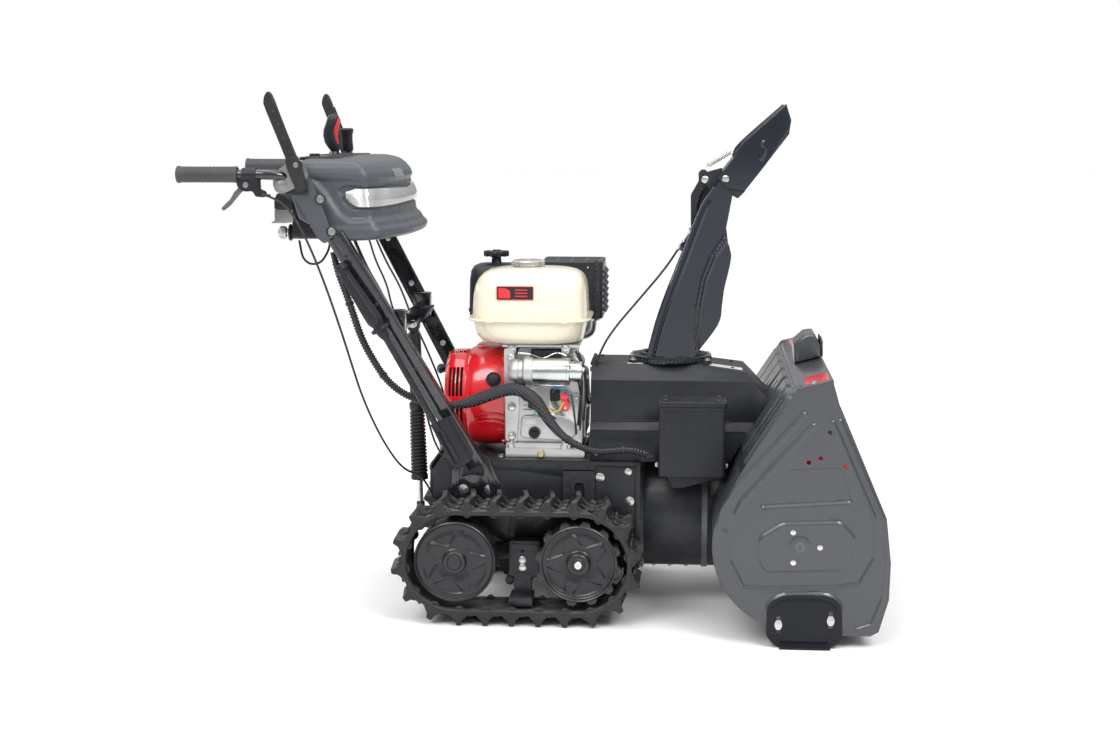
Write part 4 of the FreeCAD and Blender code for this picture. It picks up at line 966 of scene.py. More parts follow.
def make_housing_back():
    """Pressed panel on the sloping back: raised fields with a long slot in each."""
    length = sum(BACK_RUNS)
    centres = (-318, -191, -64, 64, 191, 318)

    def relief(points):
        total = np.zeros(len(points))
        for centre in centres:
            field = oblong(centre - 48, 22, centre + 48, length - 12, 12)
            total += plateau(points, field, 7.0, 6.0)
            total -= ridge(points, [(centre, 48), (centre, length - 40)], 6.5, 5.0)
        return total

    def place(u, v, h):
        here, out = back_profile(v / length)
        here = here + out * (h + 0.8)
        return Vector((here.x, u, here.y))

    half = HOUSING_HALF - 6
    outline = rectangle(-half, 2, half, length - 2)
    piece = Piece("housing_back_panel", "chassis", "housing_grey")
    pressed_sheet(piece, outline, [], relief, place, 1.2, fine=3.2, coarse=18.0, edge=12.0)
    piece.done(angle=50)

    lip = Piece("housing_top_lip", "chassis", "housing_grey")
    shape = [(572, 562.6), (640, 580.4), (646, 578), (646, 575), (641, 576.6), (574, 559.6)]
    lip.prism(shape, -HOUSING_HALF + 4, HOUSING_HALF - 4, bevel=1.0)
    for side in (-1, 1):
        lip.box((575, side * 372 - 10, 560.5), (580, side * 372 + 10, 566.5), 1.2)
        lip.bolt((604, side * 366, 570.9), (-0.25, 0, 0.97), 5.5, 4.5)
    lip.use("engine_red")
    for side in (-1, 1):
        sticker = [(588, 566.9), (638, 579.9), (638, 580.5), (588, 567.5)]
        lip.prism(sticker, side * 318 - 52, side * 318 + 52, bevel=0)
    lip.done()


def make_scraper():
    """Scraper blade under the housing's mouth, with its bolts."""
    piece = Piece("scraper_edge", "chassis", "bright_steel", "frame_black")
    half = HOUSING_HALF - 4
    piece.prism([(655, 28.5), (738, 28.5), (742, 31), (742, 35), (655, 35.5)], -half, half, bevel=0.8)
    for y in range(-330, 331, 110):
        piece.bolt((700, y, 36.2), UP, 6, 4)
    piece.done("scraper_bar")


def make_lamp():
    """Faceted work lamp on top of the housing, with a ribbed lens."""
    shell = Piece("work_lamp_hood", "chassis", "moulded_black", "housing_grey")
    outline = [(581, 565), (577.5, 612), (604, 635.5), (624, 638), (641, 609), (641, 582)]
    cx, cz = 612, 602
    rings = []
    for y, shrink in ((-50, 9), (-47, 3), (-38, 0), (38, 0), (47, 3), (50, 9)):
        scale = 1 - shrink / 40
        rings.append([(cx + (x - cx) * scale, y, cz + (z - cz) * scale) for x, z in outline])
    shell.loft(rings, bevel=2.2)
    shell.box((586, -30, 562), (634, 30, 585), 3.0)
    shell.use("moulded_black")
    frame_outline = rounded([(-43, -24), (43, -24), (43, 12), (34, 20), (-34, 20), (-43, 12)], 5)
    shell.prism(frame_outline, 0, 3.5, axis="x", bevel=1.0, matrix=turned((640.2, 0, 606), -5, "Y"))
    shell.done("work_lamp")
    lens = Piece("work_lamp_glass", "chassis", "clear_lens")
    for i in range(14):
        y = -36 + i * 5.5
        lens.prism([(643.6, 585), (646.4, 586), (646.4, 620), (643.6, 621)], y, y + 5.4, bevel=0.9)
    lens.done("work_lamp_lens")


# ---------------------------------------------------------------- chute
CHUTE_BACK = [(262, 645), (285, 714), (318, 800), (362, 918), (394, 970)]
CHUTE_FRONT = [(440, 985), (421, 878), (426, 840), (433, 810), (418, 737), (414, 703), (405, 657), (350, 581)]


def chute_edge(points, steps=5):
    """Smooth line through the corners of an edge."""
    return [(p.x, p.z) for p in smooth_route([(x, 0, z) for x, z in points], steps)]


def make_chute_skin():
    """Pressed cheeks over the chute's welded sheets, and the beads along its edges."""
    back = chute_edge([(246, 581), *CHUTE_BACK])
    front = chute_edge(CHUTE_FRONT)
    outline = back + front

    def relief(points):
        rear_bead = [(x + 12, z) for x, z in back if z < 955]
        curve = [(354, 604), (352, 640), (357, 700), (368, 760), (388, 812), (420, 858)]
        second = [(x + 8.5, z - 1) for x, z in curve]
        total = ridge(points, rear_bead, 4.5, 3.4)
        for line in (curve, second):
            total = np.maximum(total, ridge(points, line, 3.6, 3.0))
        return total * smooth_step((940 - points[:, 1]) / 25)

    for side, label in ((-1, "right"), (1, "left")):
        piece = Piece("chute_cheek_" + label, "chute", "chute_black")
        pressed_sheet(piece, outline, [], relief, lambda u, v, h, s=side: Vector((u, s * (72.6 + h), v)), 0.8,
                      fine=2.2)
        piece.done(angle=50)
    trim = Piece("chute_trim", "chute", "chute_black", "moulded_black")
    for side in (-1, 1):
        band = rounded([(396, 972), (446, 944), (463, 961), (412, 993)], 3)
        trim.prism(band, side * 72.4, side * 73.2, bevel=0)
    trim.use("chute_black")
    for side in (-1, 1):
        rear_edge = [(x - 0.5, side * 71.0, z) for x, z in [(246, 583), *CHUTE_BACK]]
        trim.pipe(rear_edge, 2.4, sides=10, steps=5)
    trim.use("bright_steel")
    for side in (-1, 1):
        trim.lathe([(0, 0), (8, 0), (8, 1.4), (5.5, 3.6), (0, 4.2)], (418, side * 76.6, 988), (0, side, 0),
                   24)
    trim.done()


def make_chute_base():
    """Turning ring under the chute, with its clamps and teeth."""
    piece = Piece("chute_ring", "chute", "frame_black", "moulded_black")
    piece.lathe([(58, 568.5), (90, 568.5), (92, 570), (92, 575), (88, 577), (86, 581.5), (74, 582), (72, 586),
                 (60, 586), (58, 584)], (CHUTE_X, 0, 0), UP, 72, closed=True)
    for i in range(60):
        turn = turned((CHUTE_X, 0, 0), i * 6, "Z")
        piece.box((89, -2.2, 569.5), (95.5, 2.2, 576), 0.8, turn, 1)
    piece.done()
    clamps = Piece("chute_clamps", "chassis", "frame_black")
    for angle in (35, 145, 215, 325):
        turn = turned((CHUTE_X, 0, 0), angle, "Z")
        clamps.prism(oblong(96.5, -11, 110, 11, 4), 562, 574, "z", 1.2, turn)
        top = turn @ Vector((104, 0, 574))
        clamps.bolt(top, UP, 6, 4.5)
    clamps.done()


def make_deflector_skin():
    """Pressed cheeks of the deflector and its folded edges."""
    outline = [(401, 990), (436, 1035), (454, 1066), (551, 1153), *arc(541, 1119, 21, 0, -35, 4),
               (506, 1019), (480, 985), (462, 962), (420, 968)]

    def relief(points):
        crescent = [(500, 1070), (504, 1058), (503, 1046), (497, 1034)]
        return ridge(points, crescent, 5.5, 2.4)

    for side, label in ((-1, "right"), (1, "left")):
        piece = Piece("deflector_cheek_" + label, "deflector", "chute_black")
        pressed_sheet(piece, outline, [], relief, lambda u, v, h, s=side: Vector((u, s * (77.3 + h), v)), 1.0,
                      fine=2.0)
        top = [(436, side * 76, 1035), (454, side * 76, 1066), (551, side * 76, 1153)]
        piece.pipe(top, 2.6, sides=10, steps=4)
        piece.done(angle=50)


def make_deflector_spring():
    """Extension spring from the arm to the deflector: a close coil with hooks."""
    start, end = Vector((378, -27, 1017)), Vector((428, -27, 1047))
    along = (end - start).normalized()
    side = Vector(LEFT)
    up = along.cross(side)
    turns, radius = 15, 5.2
    points = [start - along * 6 - up * 2, start - along * 2]
    for i in range(turns * 10 + 1):
        angle = 2 * math.pi * i / 10
        here = start + (end - start) * (i / (turns * 10))
        points.append(here + side * radius * math.cos(angle) + up * radius * math.sin(angle))
    points += [end + along * 3, end + along * 8 - up * 2]
    piece = Piece("deflector_spring_coil", "chute", "bright_steel")
    piece.pipe(points, 1.1, sides=8, steps=1)
    piece.done("deflector_spring")


def make_deflector_linkage():
    """Bracket plate, clevis and cable end behind the chute."""
    piece = Piece("cable_bracket", "chute", "frame_black")
    piece.prism(rounded([(318, 822), (334, 828), (352, 872), (346, 876), (326, 846), (316, 838)], 3), -44,
                -36, bevel=0.8)
    piece.use("bright_steel")
    piece.rod((312, -40, 824), (338, -40, 862), 3.6, sides=6)
    piece.disc(6, 4, (318, -40, 833), (26, 0, 38), 6, bevel=0.5)
    piece.disc(6, 4, (324, -40, 842), (26, 0, 38), 6, bevel=0.5)
    piece.pipe([(338, -30, 862), (340, -28, 868), (337, -27, 874)], 1.6, sides=8)
    piece.use("frame_black")
    piece.prism(rounded([(366, 992), (374, 1002), (411, 1012), (411, 985), (398, 958), (378, 966)], 3), -36,
                -33, bevel=0.8)
    piece.bolt((372, -36, 985), RIGHT, 6, 4)
    piece.done()
    arm = Piece("deflector_rocker", "deflector_arm", "frame_black")
    outline = rounded([(340, 950), (358, 982), (357, 1000), (364, 1008), (374, 1007), (385, 990), (381, 972),
                       (367, 960), (357, 940), (355, 922), (359, 898), (349, 870), (341, 880)], 4)
    arm.prism(outline, -30.5, -24.5, bevel=1.0)
    arm.lathe([(0, 0), (8, 0), (8, 2), (0, 2.4)], (372, -30.5, 985), RIGHT, 28)
    arm.done("deflector_arm", angle=38)


# ---------------------------------------------------------------- tracks and wheels
TRACK_R, TRACK_BAND, LUG, LUG_COUNT = 120.0, 12.0, 24.0, 22
TRACK_IN, TRACK_OUT = 165.0, 285.0
WHEEL_R = 92.0


def track_point(distance, radius):
    """Point on the loop at a distance along its outside, with the angle of the outward direction."""
    straight, curve = DRIVE_X - IDLER_X, math.pi * TRACK_R
    distance %= 2 * (straight + curve)
    if distance < straight:
        return (DRIVE_X - distance, AXLE_Z - radius), -90.0
    distance -= straight
    if distance < curve:
        angle = 270.0 - math.degrees(distance / TRACK_R)
        centre = IDLER_X
    elif distance < curve + straight:
        return (IDLER_X + distance - curve, AXLE_Z + radius), 90.0
    else:
        angle = 90.0 - math.degrees((distance - curve - straight) / TRACK_R)
        centre = DRIVE_X
    turn = math.radians(angle)
    return (centre + radius * math.cos(turn), AXLE_Z + radius * math.sin(turn)), angle


def track_lug(piece):
    """One cleat: a tall tapered bar with a chevron plan, side webs and a moulded foot.

    Its local axes: X outward from the band, Y across the track, Z along it.
    """
    half = (TRACK_OUT - TRACK_IN) / 2
    flank = [(-3, -14), (7, -9.5), (LUG - 1.5, -6), (LUG, -4.5)]
    section = flank + [(x, -z) for x, z in reversed(flank)]
    rings = []
    for y in (-half, -half + 3, -18, 0, 18, half - 3, half):
        sweep = -9.0 * (1 - abs(y) / half)
        end = 0.86 if abs(y) > half - 1 else 1.0
        rings.append([(x * end, y, z + sweep) for x, z in section])
    piece.loft(rings, bevel=0.9)
    for y in (-half + 6, -22, 22, half - 6):
        web = [(-2, 6), (13, 6), (9, 12), (-2, 23)]
        for sign in (1, -1):
            path = [(x, sign * z - 9.0 * (1 - abs(y) / half)) for x, z in web]
            piece.prism(path, y - 3, y + 3, "y", 0.8, segments=1)
    for y0, y1 in ((-half + 12, -half + 34), (-11, 11), (half - 34, half - 12)):
        piece.box((-1, y0, 17), (5.5, y1, 30), 1.6, segments=1)


def make_tracks():
    """Rubber bands with lugs outside and guide teeth inside."""
    length = 2 * (DRIVE_X - IDLER_X) + 2 * math.pi * TRACK_R
    pitch = length / LUG_COUNT
    middle = (TRACK_IN + TRACK_OUT) / 2
    rng = random.Random(4)
    for side, label in ((-1, "right"), (1, "left")):
        band = Piece("track_band_" + label, "track_frame", "track_rubber")
        profile = [(TRACK_IN, -1.5), (TRACK_IN + 2, 0), (TRACK_OUT - 2, 0), (TRACK_OUT, -1.5),
                   (TRACK_OUT + 0.6, -TRACK_BAND / 2), (TRACK_OUT, -TRACK_BAND + 1.5),
                   (TRACK_OUT - 2, -TRACK_BAND), (TRACK_OUT - 16, -TRACK_BAND),
                   (TRACK_OUT - 18, -TRACK_BAND + 2.5), (TRACK_IN + 18, -TRACK_BAND + 2.5),
                   (TRACK_IN + 16, -TRACK_BAND), (TRACK_IN + 2, -TRACK_BAND), (TRACK_IN, -TRACK_BAND + 1.5)]
        steps = 176
        rings = []
        for i in range(steps):
            distance = length * i / steps
            wobble = 0.35 * math.sin(distance / pitch * 2 * math.pi)
            spots = [(track_point(distance, TRACK_R + h + wobble)[0], y) for y, h in profile]
            rings.append([(x, y, z) for (x, z), y in spots])
        band.loft(rings + rings[:1], caps=False)
        bmesh.ops.remove_doubles(band.bm, verts=band.bm.verts, dist=0.01)
        lugs = Piece("lug", "track_frame", "track_rubber")
        track_lug(lugs)
        places = []
        for i in range(LUG_COUNT):
            (x, z), angle = track_point(pitch * (i + 0.5), TRACK_R)
            places.append(turned((x, middle, z), -angle, "Y"))
        lugs.copy_parts(places)
        for v in lugs.bm.verts:
            v.co += Vector((rng.uniform(-0.25, 0.25), rng.uniform(-0.15, 0.15), rng.uniform(-0.25, 0.25)))
        band.take(lugs.bm)
        teeth = Piece("teeth", "track_frame", "track_rubber")
        for y in (-48, 48):
            teeth.prism([(-TRACK_BAND - 6, -3), (-TRACK_BAND - 6, 3), (-TRACK_BAND + 1, 13),
                         (-TRACK_BAND + 1, -13)], y - 7, y + 7, "y", 1.2)
        teeth.copy_parts(places)
        band.take(teeth.bm)
        if side < 0:
            band.flipped()
        band.done(*(["tracks"] if side < 0 else []), angle=40)


def ease(value):
    """Smooth rise from 0 to 1 of a single number."""
    t = max(0.0, min(1.0, value))
    return t * t * (3 - 2 * t)


def star_relief(angle, radius, first):
    """Five pockets between the arms of a pressed star, as a depth below the face."""
    nearest = min(abs((math.degrees(angle) - first - 72 * k + 180) % 360 - 180) for k in range(5))
    half_width = 31.0 * math.sqrt(max(0.0, min(1.0, (radius - 37) / 30)))
    from_side = math.radians(half_width - nearest) * radius
    return -4.2 * ease(min(from_side, 76 - radius, radius - 37) / 6.5)


def wheel_face(piece, centre_x, first, outer, dish):
    """Pressed disc seen from the side of the machine; the relief is in the mesh."""
    radii = [0, 8, 14, 19, 23, 25, 27.5, 30, 34, 37, 39, 41, 43.5, 46, 49, 52, 55, 58, 61, 64, 67, 69.5, 72,
             74, 76, 78, 80, 82, 84, outer - 3, outer - 1, outer]
    sides = 180
    part = bmesh.new()
    rows = []
    for radius in radii:
        row = []
        for i in range(sides):
            angle = 2 * math.pi * i / sides
            if radius < 24:
                y = 281.5
            elif radius < 29:
                y = 281.5 - dish * ease((radius - 23) / 6)
            elif radius < outer - 8:
                y = 281.5 - dish + 3.0 * ease((radius - 28) / 20) * (1 - ease((radius - 60) / 16))
                y += star_relief(angle, radius, first)
            else:
                y = 281.5 - dish + (dish - 3) * ease((radius - outer + 8) / 4)
            if radius > outer - 2:
                y -= 2.0 * (radius - outer + 2) / 2
            row.append(part.verts.new((radius * math.cos(angle), y, radius * math.sin(angle))))
        rows.append(row)
    for a, b in zip(rows, rows[1:]):
        for i in range(sides):
            j = (i + 1) % sides
            if a is rows[0]:
                part.faces.new((a[0], b[j], b[i]))
            else:
                part.faces.new((a[i], a[j], b[j], b[i]))
    for i in range(1, sides):
        part.verts.remove(rows[0][i])
    back = [part.verts.new((outer * math.cos(2 * math.pi * i / sides), 212.0,
                            outer * math.sin(2 * math.pi * i / sides))) for i in range(sides)]
    for i in range(sides):
        j = (i + 1) % sides
        part.faces.new((rows[-1][i], rows[-1][j], back[j], back[i]))
    part.faces.new(back)
    bmesh.ops.recalc_face_normals(part, faces=part.faces)
    piece.take(part, matrix=Matrix.Translation((centre_x, 0, AXLE_Z)))


def make_wheels():
    """Dished idler wheels and toothed drive wheels."""
    for side, label in ((-1, "right"), (1, "left")):
        idler = Piece("idler_disc_" + label, "idler_" + label, "moulded_black", "wheel_black")
        wheel_face(idler, IDLER_X, 40, WHEEL_R - 0.5, 9)
        idler.lathe([(0, 0), (15, 0), (15, 1.5), (13.5, 3.4), (6, 3.9), (0, 3.9)], (IDLER_X, 281.5, AXLE_Z),
                    LEFT, 40)
        idler.lathe([(17.5, -1), (23, -1), (24, 0.6), (22.6, 1.6), (18.6, 1.6), (17.5, 0.4)],
                    (IDLER_X, 281.5, AXLE_Z), LEFT, 48, closed=True)
        drive = Piece("drive_disc_" + label, "drive_" + label, "moulded_black", "wheel_black")
        wheel_face(drive, DRIVE_X, 0, WHEEL_R - 5, 11)
        for i in range(12):
            turn = turned((DRIVE_X, 0, AXLE_Z), 30 * i + 10, "Y")
            drive.prism([(-13, WHEEL_R - 9), (13, WHEEL_R - 9), (11, WHEEL_R - 1), (6, WHEEL_R + 5),
                         (-6, WHEEL_R + 5), (-11, WHEEL_R - 1)], 226, 276, "y", 1.6, turn)
        drive.lathe([(10.5, -1), (23, -1), (24, 1.0), (22, 2.6), (15, 3.2), (13, 5.2), (10.5, 5.6)],
                    (DRIVE_X, 281.5, AXLE_Z), LEFT, 48, closed=True)
        drive.use("bright_steel")
        drive.lathe([(0, -1), (9, -1), (9, 5.4), (8, 6.6), (2.4, 6.6), (1.8, 5.4), (0, 5.0)],
                    (DRIVE_X, 281.5, AXLE_Z), LEFT, 32)
        drive.rod((DRIVE_X, 54, AXLE_Z), (DRIVE_X, 214, AXLE_Z), 12.4)
        for piece, node in ((idler, "idler_wheel_"), (drive, "drive_wheel_")):
            if side < 0:
                piece.flipped()
            piece.done(node + label, angle=30)


def make_track_frame_trim():
    """Bracket between the wheels with its adjuster bolts."""
    piece = Piece("track_bracket", "track_frame", "frame_black")
    plate = oblong(-60, 96, 10, 178, 5)
    piece.prism(plate, 205.5, 209, bevel=1.0)
    piece.prism(oblong(-57, 158, 7, 172, 3), 209, 212, bevel=1.0)
    piece.box((-49, 204, 44), (-10, 211, 104), 1.5)
    # Near-black disc in the bracket's hole: painted shade.
    piece.use("painted_hole_shade")
    piece.disc(5.4, 0.5, (-30, 209, 157), LEFT, 24)
    for z in (134, 117):
        piece.bolt((-30, 209, z), LEFT, 6.4, 6)
    piece.mirror()
    piece.done(angle=35)


# ---------------------------------------------------------------- engine
FAN_Z = 480.0
TANK_NECK = (-33, -20, 785)


def make_tank():
    """Two pressed halves with a welded seam; the top is crowned and the bottom pulls in."""
    cx, cy = -24.0, -29.0
    levels = [(613, 98, 80, 2.6, 6), (614.5, 108, 90, 2.8, 4), (620, 117, 99, 3.4, 2),
              (632, 123, 105, 4.2, 0), (655, 128, 108.5, 5.0, 0), (666, 130, 110, 5.4, 0),
              (674, 131, 110.5, 5.4, 0), (700, 130.5, 110, 5.2, 0), (726, 129, 109, 5.0, 0),
              (746, 126, 107, 4.6, 1), (760, 121, 103, 4.0, 2), (770, 113, 96, 3.4, 3),
              (777, 101, 85, 3.0, 4), (781.5, 82, 68, 2.6, 5), (784, 50, 40, 2.4, 6), (785, 12, 10, 2.0, 6)]
    piece = Piece("fuel_tank_shell", "chassis", "tank_white")
    piece.loft([super_ring(cx + shift, cy, half_x, half_y, power, z, 96)
                for z, half_x, half_y, power, shift in levels])
    seam = [(667.5, 131), (667.5, 138.5), (668.5, 140), (671.5, 140), (672.5, 138.5), (672.5, 131)]
    piece.loft([super_ring(cx, cy, half, half - 20.5, 5.6, z, 96) for z, half in seam])
    piece.lathe([(27, -3), (30, -3), (31, 0), (29.5, 3), (27, 4)], TANK_NECK, UP, 48)
    for x in (-110, 60):
        piece.prism(oblong(x - 9, -150, x + 9, -134, 4), 667, 673, "z", 0.8)
    piece.use("label_black")
    piece.prism(oblong(-93, 718, -11, 748, 2), -139.9, -139.3, bevel=0)
    piece.use("engine_red")
    frame_box = oblong(-93, 718, -11, 748, 2)
    rim = [Vector((x, -139.9, z)) for x, z in frame_box]
    piece.pipe(rim + rim[:1], 0.9, sides=6, steps=1)
    piece.prism([(-89, 722), (-63, 722), (-63, 738), (-74, 744), (-89, 744)], -140.3, -139.7, bevel=0)
    for z in (725, 732, 739):
        piece.prism(rectangle(-52, z, -24, z + 2.5), -140.3, -139.7, bevel=0)
    piece.done("fuel_tank", angle=38)

    cap = Piece("fuel_cap_shell", "fuel_cap", "bright_steel")
    cap.lathe([(0, 14), (30, 14), (34, 13), (36.5, 10.5), (37, 8), (37, 3), (38.5, 2), (38.5, 0.8), (29, 0.8),
               (29, 5), (0, 5)], TANK_NECK, UP, 72)
    for i in range(36):
        turn = turned(TANK_NECK, 10 * i, "Z")
        cap.box((36, -1.7, 3), (38.6, 1.7, 12), 0.7, turn, 1)
    cap.lathe([(0, 14), (12, 14), (13, 15), (12, 15.6), (0, 15.6)], TANK_NECK, UP, 40)
    cap.done("fuel_cap")


def slotted_drum(piece, profile, sides, slot_bands, slot_angles):
    """Turned shell along X with slots left out of its grid of faces, then given thickness."""
    part = bmesh.new()
    rings = [[part.verts.new((x, radius * math.cos(2 * math.pi * i / sides),
                              FAN_Z + radius * math.sin(2 * math.pi * i / sides))) for i in range(sides)]
             for radius, x in profile]
    for band, (a, b) in enumerate(zip(rings, rings[1:])):
        for i in range(sides):
            angle = 360.0 * (i + 0.5) / sides
            if band in slot_bands and any(lo < angle < hi for lo, hi in slot_angles):
                continue
            j = (i + 1) % sides
            part.faces.new((a[i], a[j], b[j], b[i]))
    bmesh.ops.recalc_face_normals(part, faces=part.faces)
    bmesh.ops.solidify(part, geom=part.faces[:], thickness=2.4)
    piece.take(part)


def make_fan_cover():
    """Red fan cowl, slotted recoil cover and its pull grip."""
    cowl = Piece("fan_cowl", "chassis", "engine_red")
    steps = [(-171, 88, 2.0, 0), (-171.5, 104, 2.0, 0), (-169, 108, 2.05, 0), (-163, 111.5, 2.1, 0),
             (-150, 114, 2.2, 0), (-132, 115.5, 2.3, 1), (-112, 116, 2.4, 1), (-96, 115.5, 2.4, 2),
             (-84, 114, 2.45, 2), (-79, 112.5, 2.45, 2), (-77, 110, 2.45, 2), (-77, 104, 2.45, 2)]
    cowl.loft([[(x, y, z) for y, z in superellipse(0, FAN_Z + lift, radius, radius, power, 128)]
               for x, radius, power, lift in steps], caps=False)
    cowl.prism(rounded([(0, 482), (146, 484), (148, 560), (132, 592), (20, 597), (0, 596)], 14), -158, -70,
               "x", 5.0)
    for angle in (64, 128, -62, 236):
        c, s = cos_sin(angle)
        seat = (-76, c * 117, FAN_Z + s * 117)
        cowl.lathe([(0, 0), (10, 0), (11, 3), (11, 10), (0, 10)], seat, BACK, 24)
        cowl.bolt((-86, seat[1], seat[2]), BACK, 6, 5)
    low_edge = [(-150, -112, 446), (-128, -116, 452), (-100, -118, 452), (-80, -116, 447)]
    cowl.pipe(low_edge, 2.2, sides=10, steps=6)
    cowl.pipe([(x, y, z - 17) for x, y, z in low_edge], 2.0, sides=10, steps=6)
    cowl.use("moulded_black")
    cowl.lathe([(0, 0), (14, 0), (14, 2), (12.5, 4.5), (10, 5.6), (0, 5.8)], (-105, -109, 531),
               (0, -0.97, 0.25), 36)
    cowl.lathe([(14.2, -2), (17.5, -2), (17.5, 1.4), (16.5, 2.4), (14.2, 2.4)], (-105, -109, 531),
               (0, -0.97, 0.25), 36, closed=True)
    cowl.use("cast_alloy")
    cowl.lathe([(104, -78), (112, -78), (113, -76), (113, -68), (112, -66), (100, -66)], (0, 0, FAN_Z + 2),
               AHEAD, 96)
    cowl.done("fan_cover", angle=40)

    recoil = Piece("recoil_shell", "chassis", "engine_red")
    profile = [(105.5, -170), (107, -175), (107.5, -178), (107.5, -184), (107.5, -187), (107.4, -193),
               (107.3, -196), (107, -202), (106.4, -205), (104.8, -211), (102.5, -215), (98, -219.5),
               (90, -222.2), (76, -223.4), (58, -223.6), (52, -222), (46, -218), (20, -218), (1.5, -218)]
    slots = [(186, 228), (136, 174), (6, 48), (66, 108), (252, 292), (306, 350)]
    slotted_drum(recoil, profile, 180, {2, 4, 6, 8}, slots)
    for i in range(6):
        angle = math.radians(60 * i + 30)
        start = (-222, 50 * math.cos(angle), FAN_Z + 50 * math.sin(angle))
        end = (-219, 99 * math.cos(angle), FAN_Z + 99 * math.sin(angle))
        recoil.pipe([start, end], 2.4, sides=8, steps=1)
    recoil.lathe([(5.2, 0), (13, 0), (15, 3), (14, 7), (9, 9), (6.4, 7.5), (5.2, 5)], (-220, 75, 528), BACK,
                 32, closed=True)
    recoil.lathe([(0, 0), (36, 0), (38, 2), (36, 4), (10, 4.6), (0, 4.6)], (-218.5, 0, FAN_Z), BACK, 48)
    for angle in (183, 55, 305):
        c, s = cos_sin(angle)
        recoil.disc(6.5, 2.5, (-176, c * 107, FAN_Z + s * 107), (0, c, s), 20)
        recoil.bolt((-176, c * 109.2, FAN_Z + s * 109.2), (0, c, s), 4.2, 3.6)
    # Near-black lining behind the recoil cover's slots: painted shade seen through them.
    recoil.use("painted_hole_shade")
    recoil.lathe([(99, -172), (99, -212), (60, -216), (0, -216)], (0, 0, FAN_Z), AHEAD, 96)
    recoil.done("recoil_cover", angle=40)

    handle = Piece("recoil_grip", "recoil_handle", "moulded_black")
    rings = []
    for t in range(0, 13):
        y = -31 + t * 62 / 12 + 75
        wide = 6.5 + 3.5 * math.cos(math.pi * (t - 6) / 7)
        tall = 8.5 + 3.0 * math.cos(math.pi * (t - 6) / 8)
        bend = 3.0 * ((t - 6) / 6) ** 2
        rings.append([(-253 + bend + wide * math.cos(a), y, 528 + tall * math.sin(a)) for a in circle(24)])
    handle.loft(rings, bevel=0.0)
    handle.lathe([(0, 0), (9, 0), (7.5, 8), (5, 15), (0, 15)], (-246, 75, 528), AHEAD, 24)
    handle.use("cable_black")
    handle.rod((-236, 75, 528), (-226.6, 75, 528), 2.4, 0.2)
    handle.done("recoil_handle")


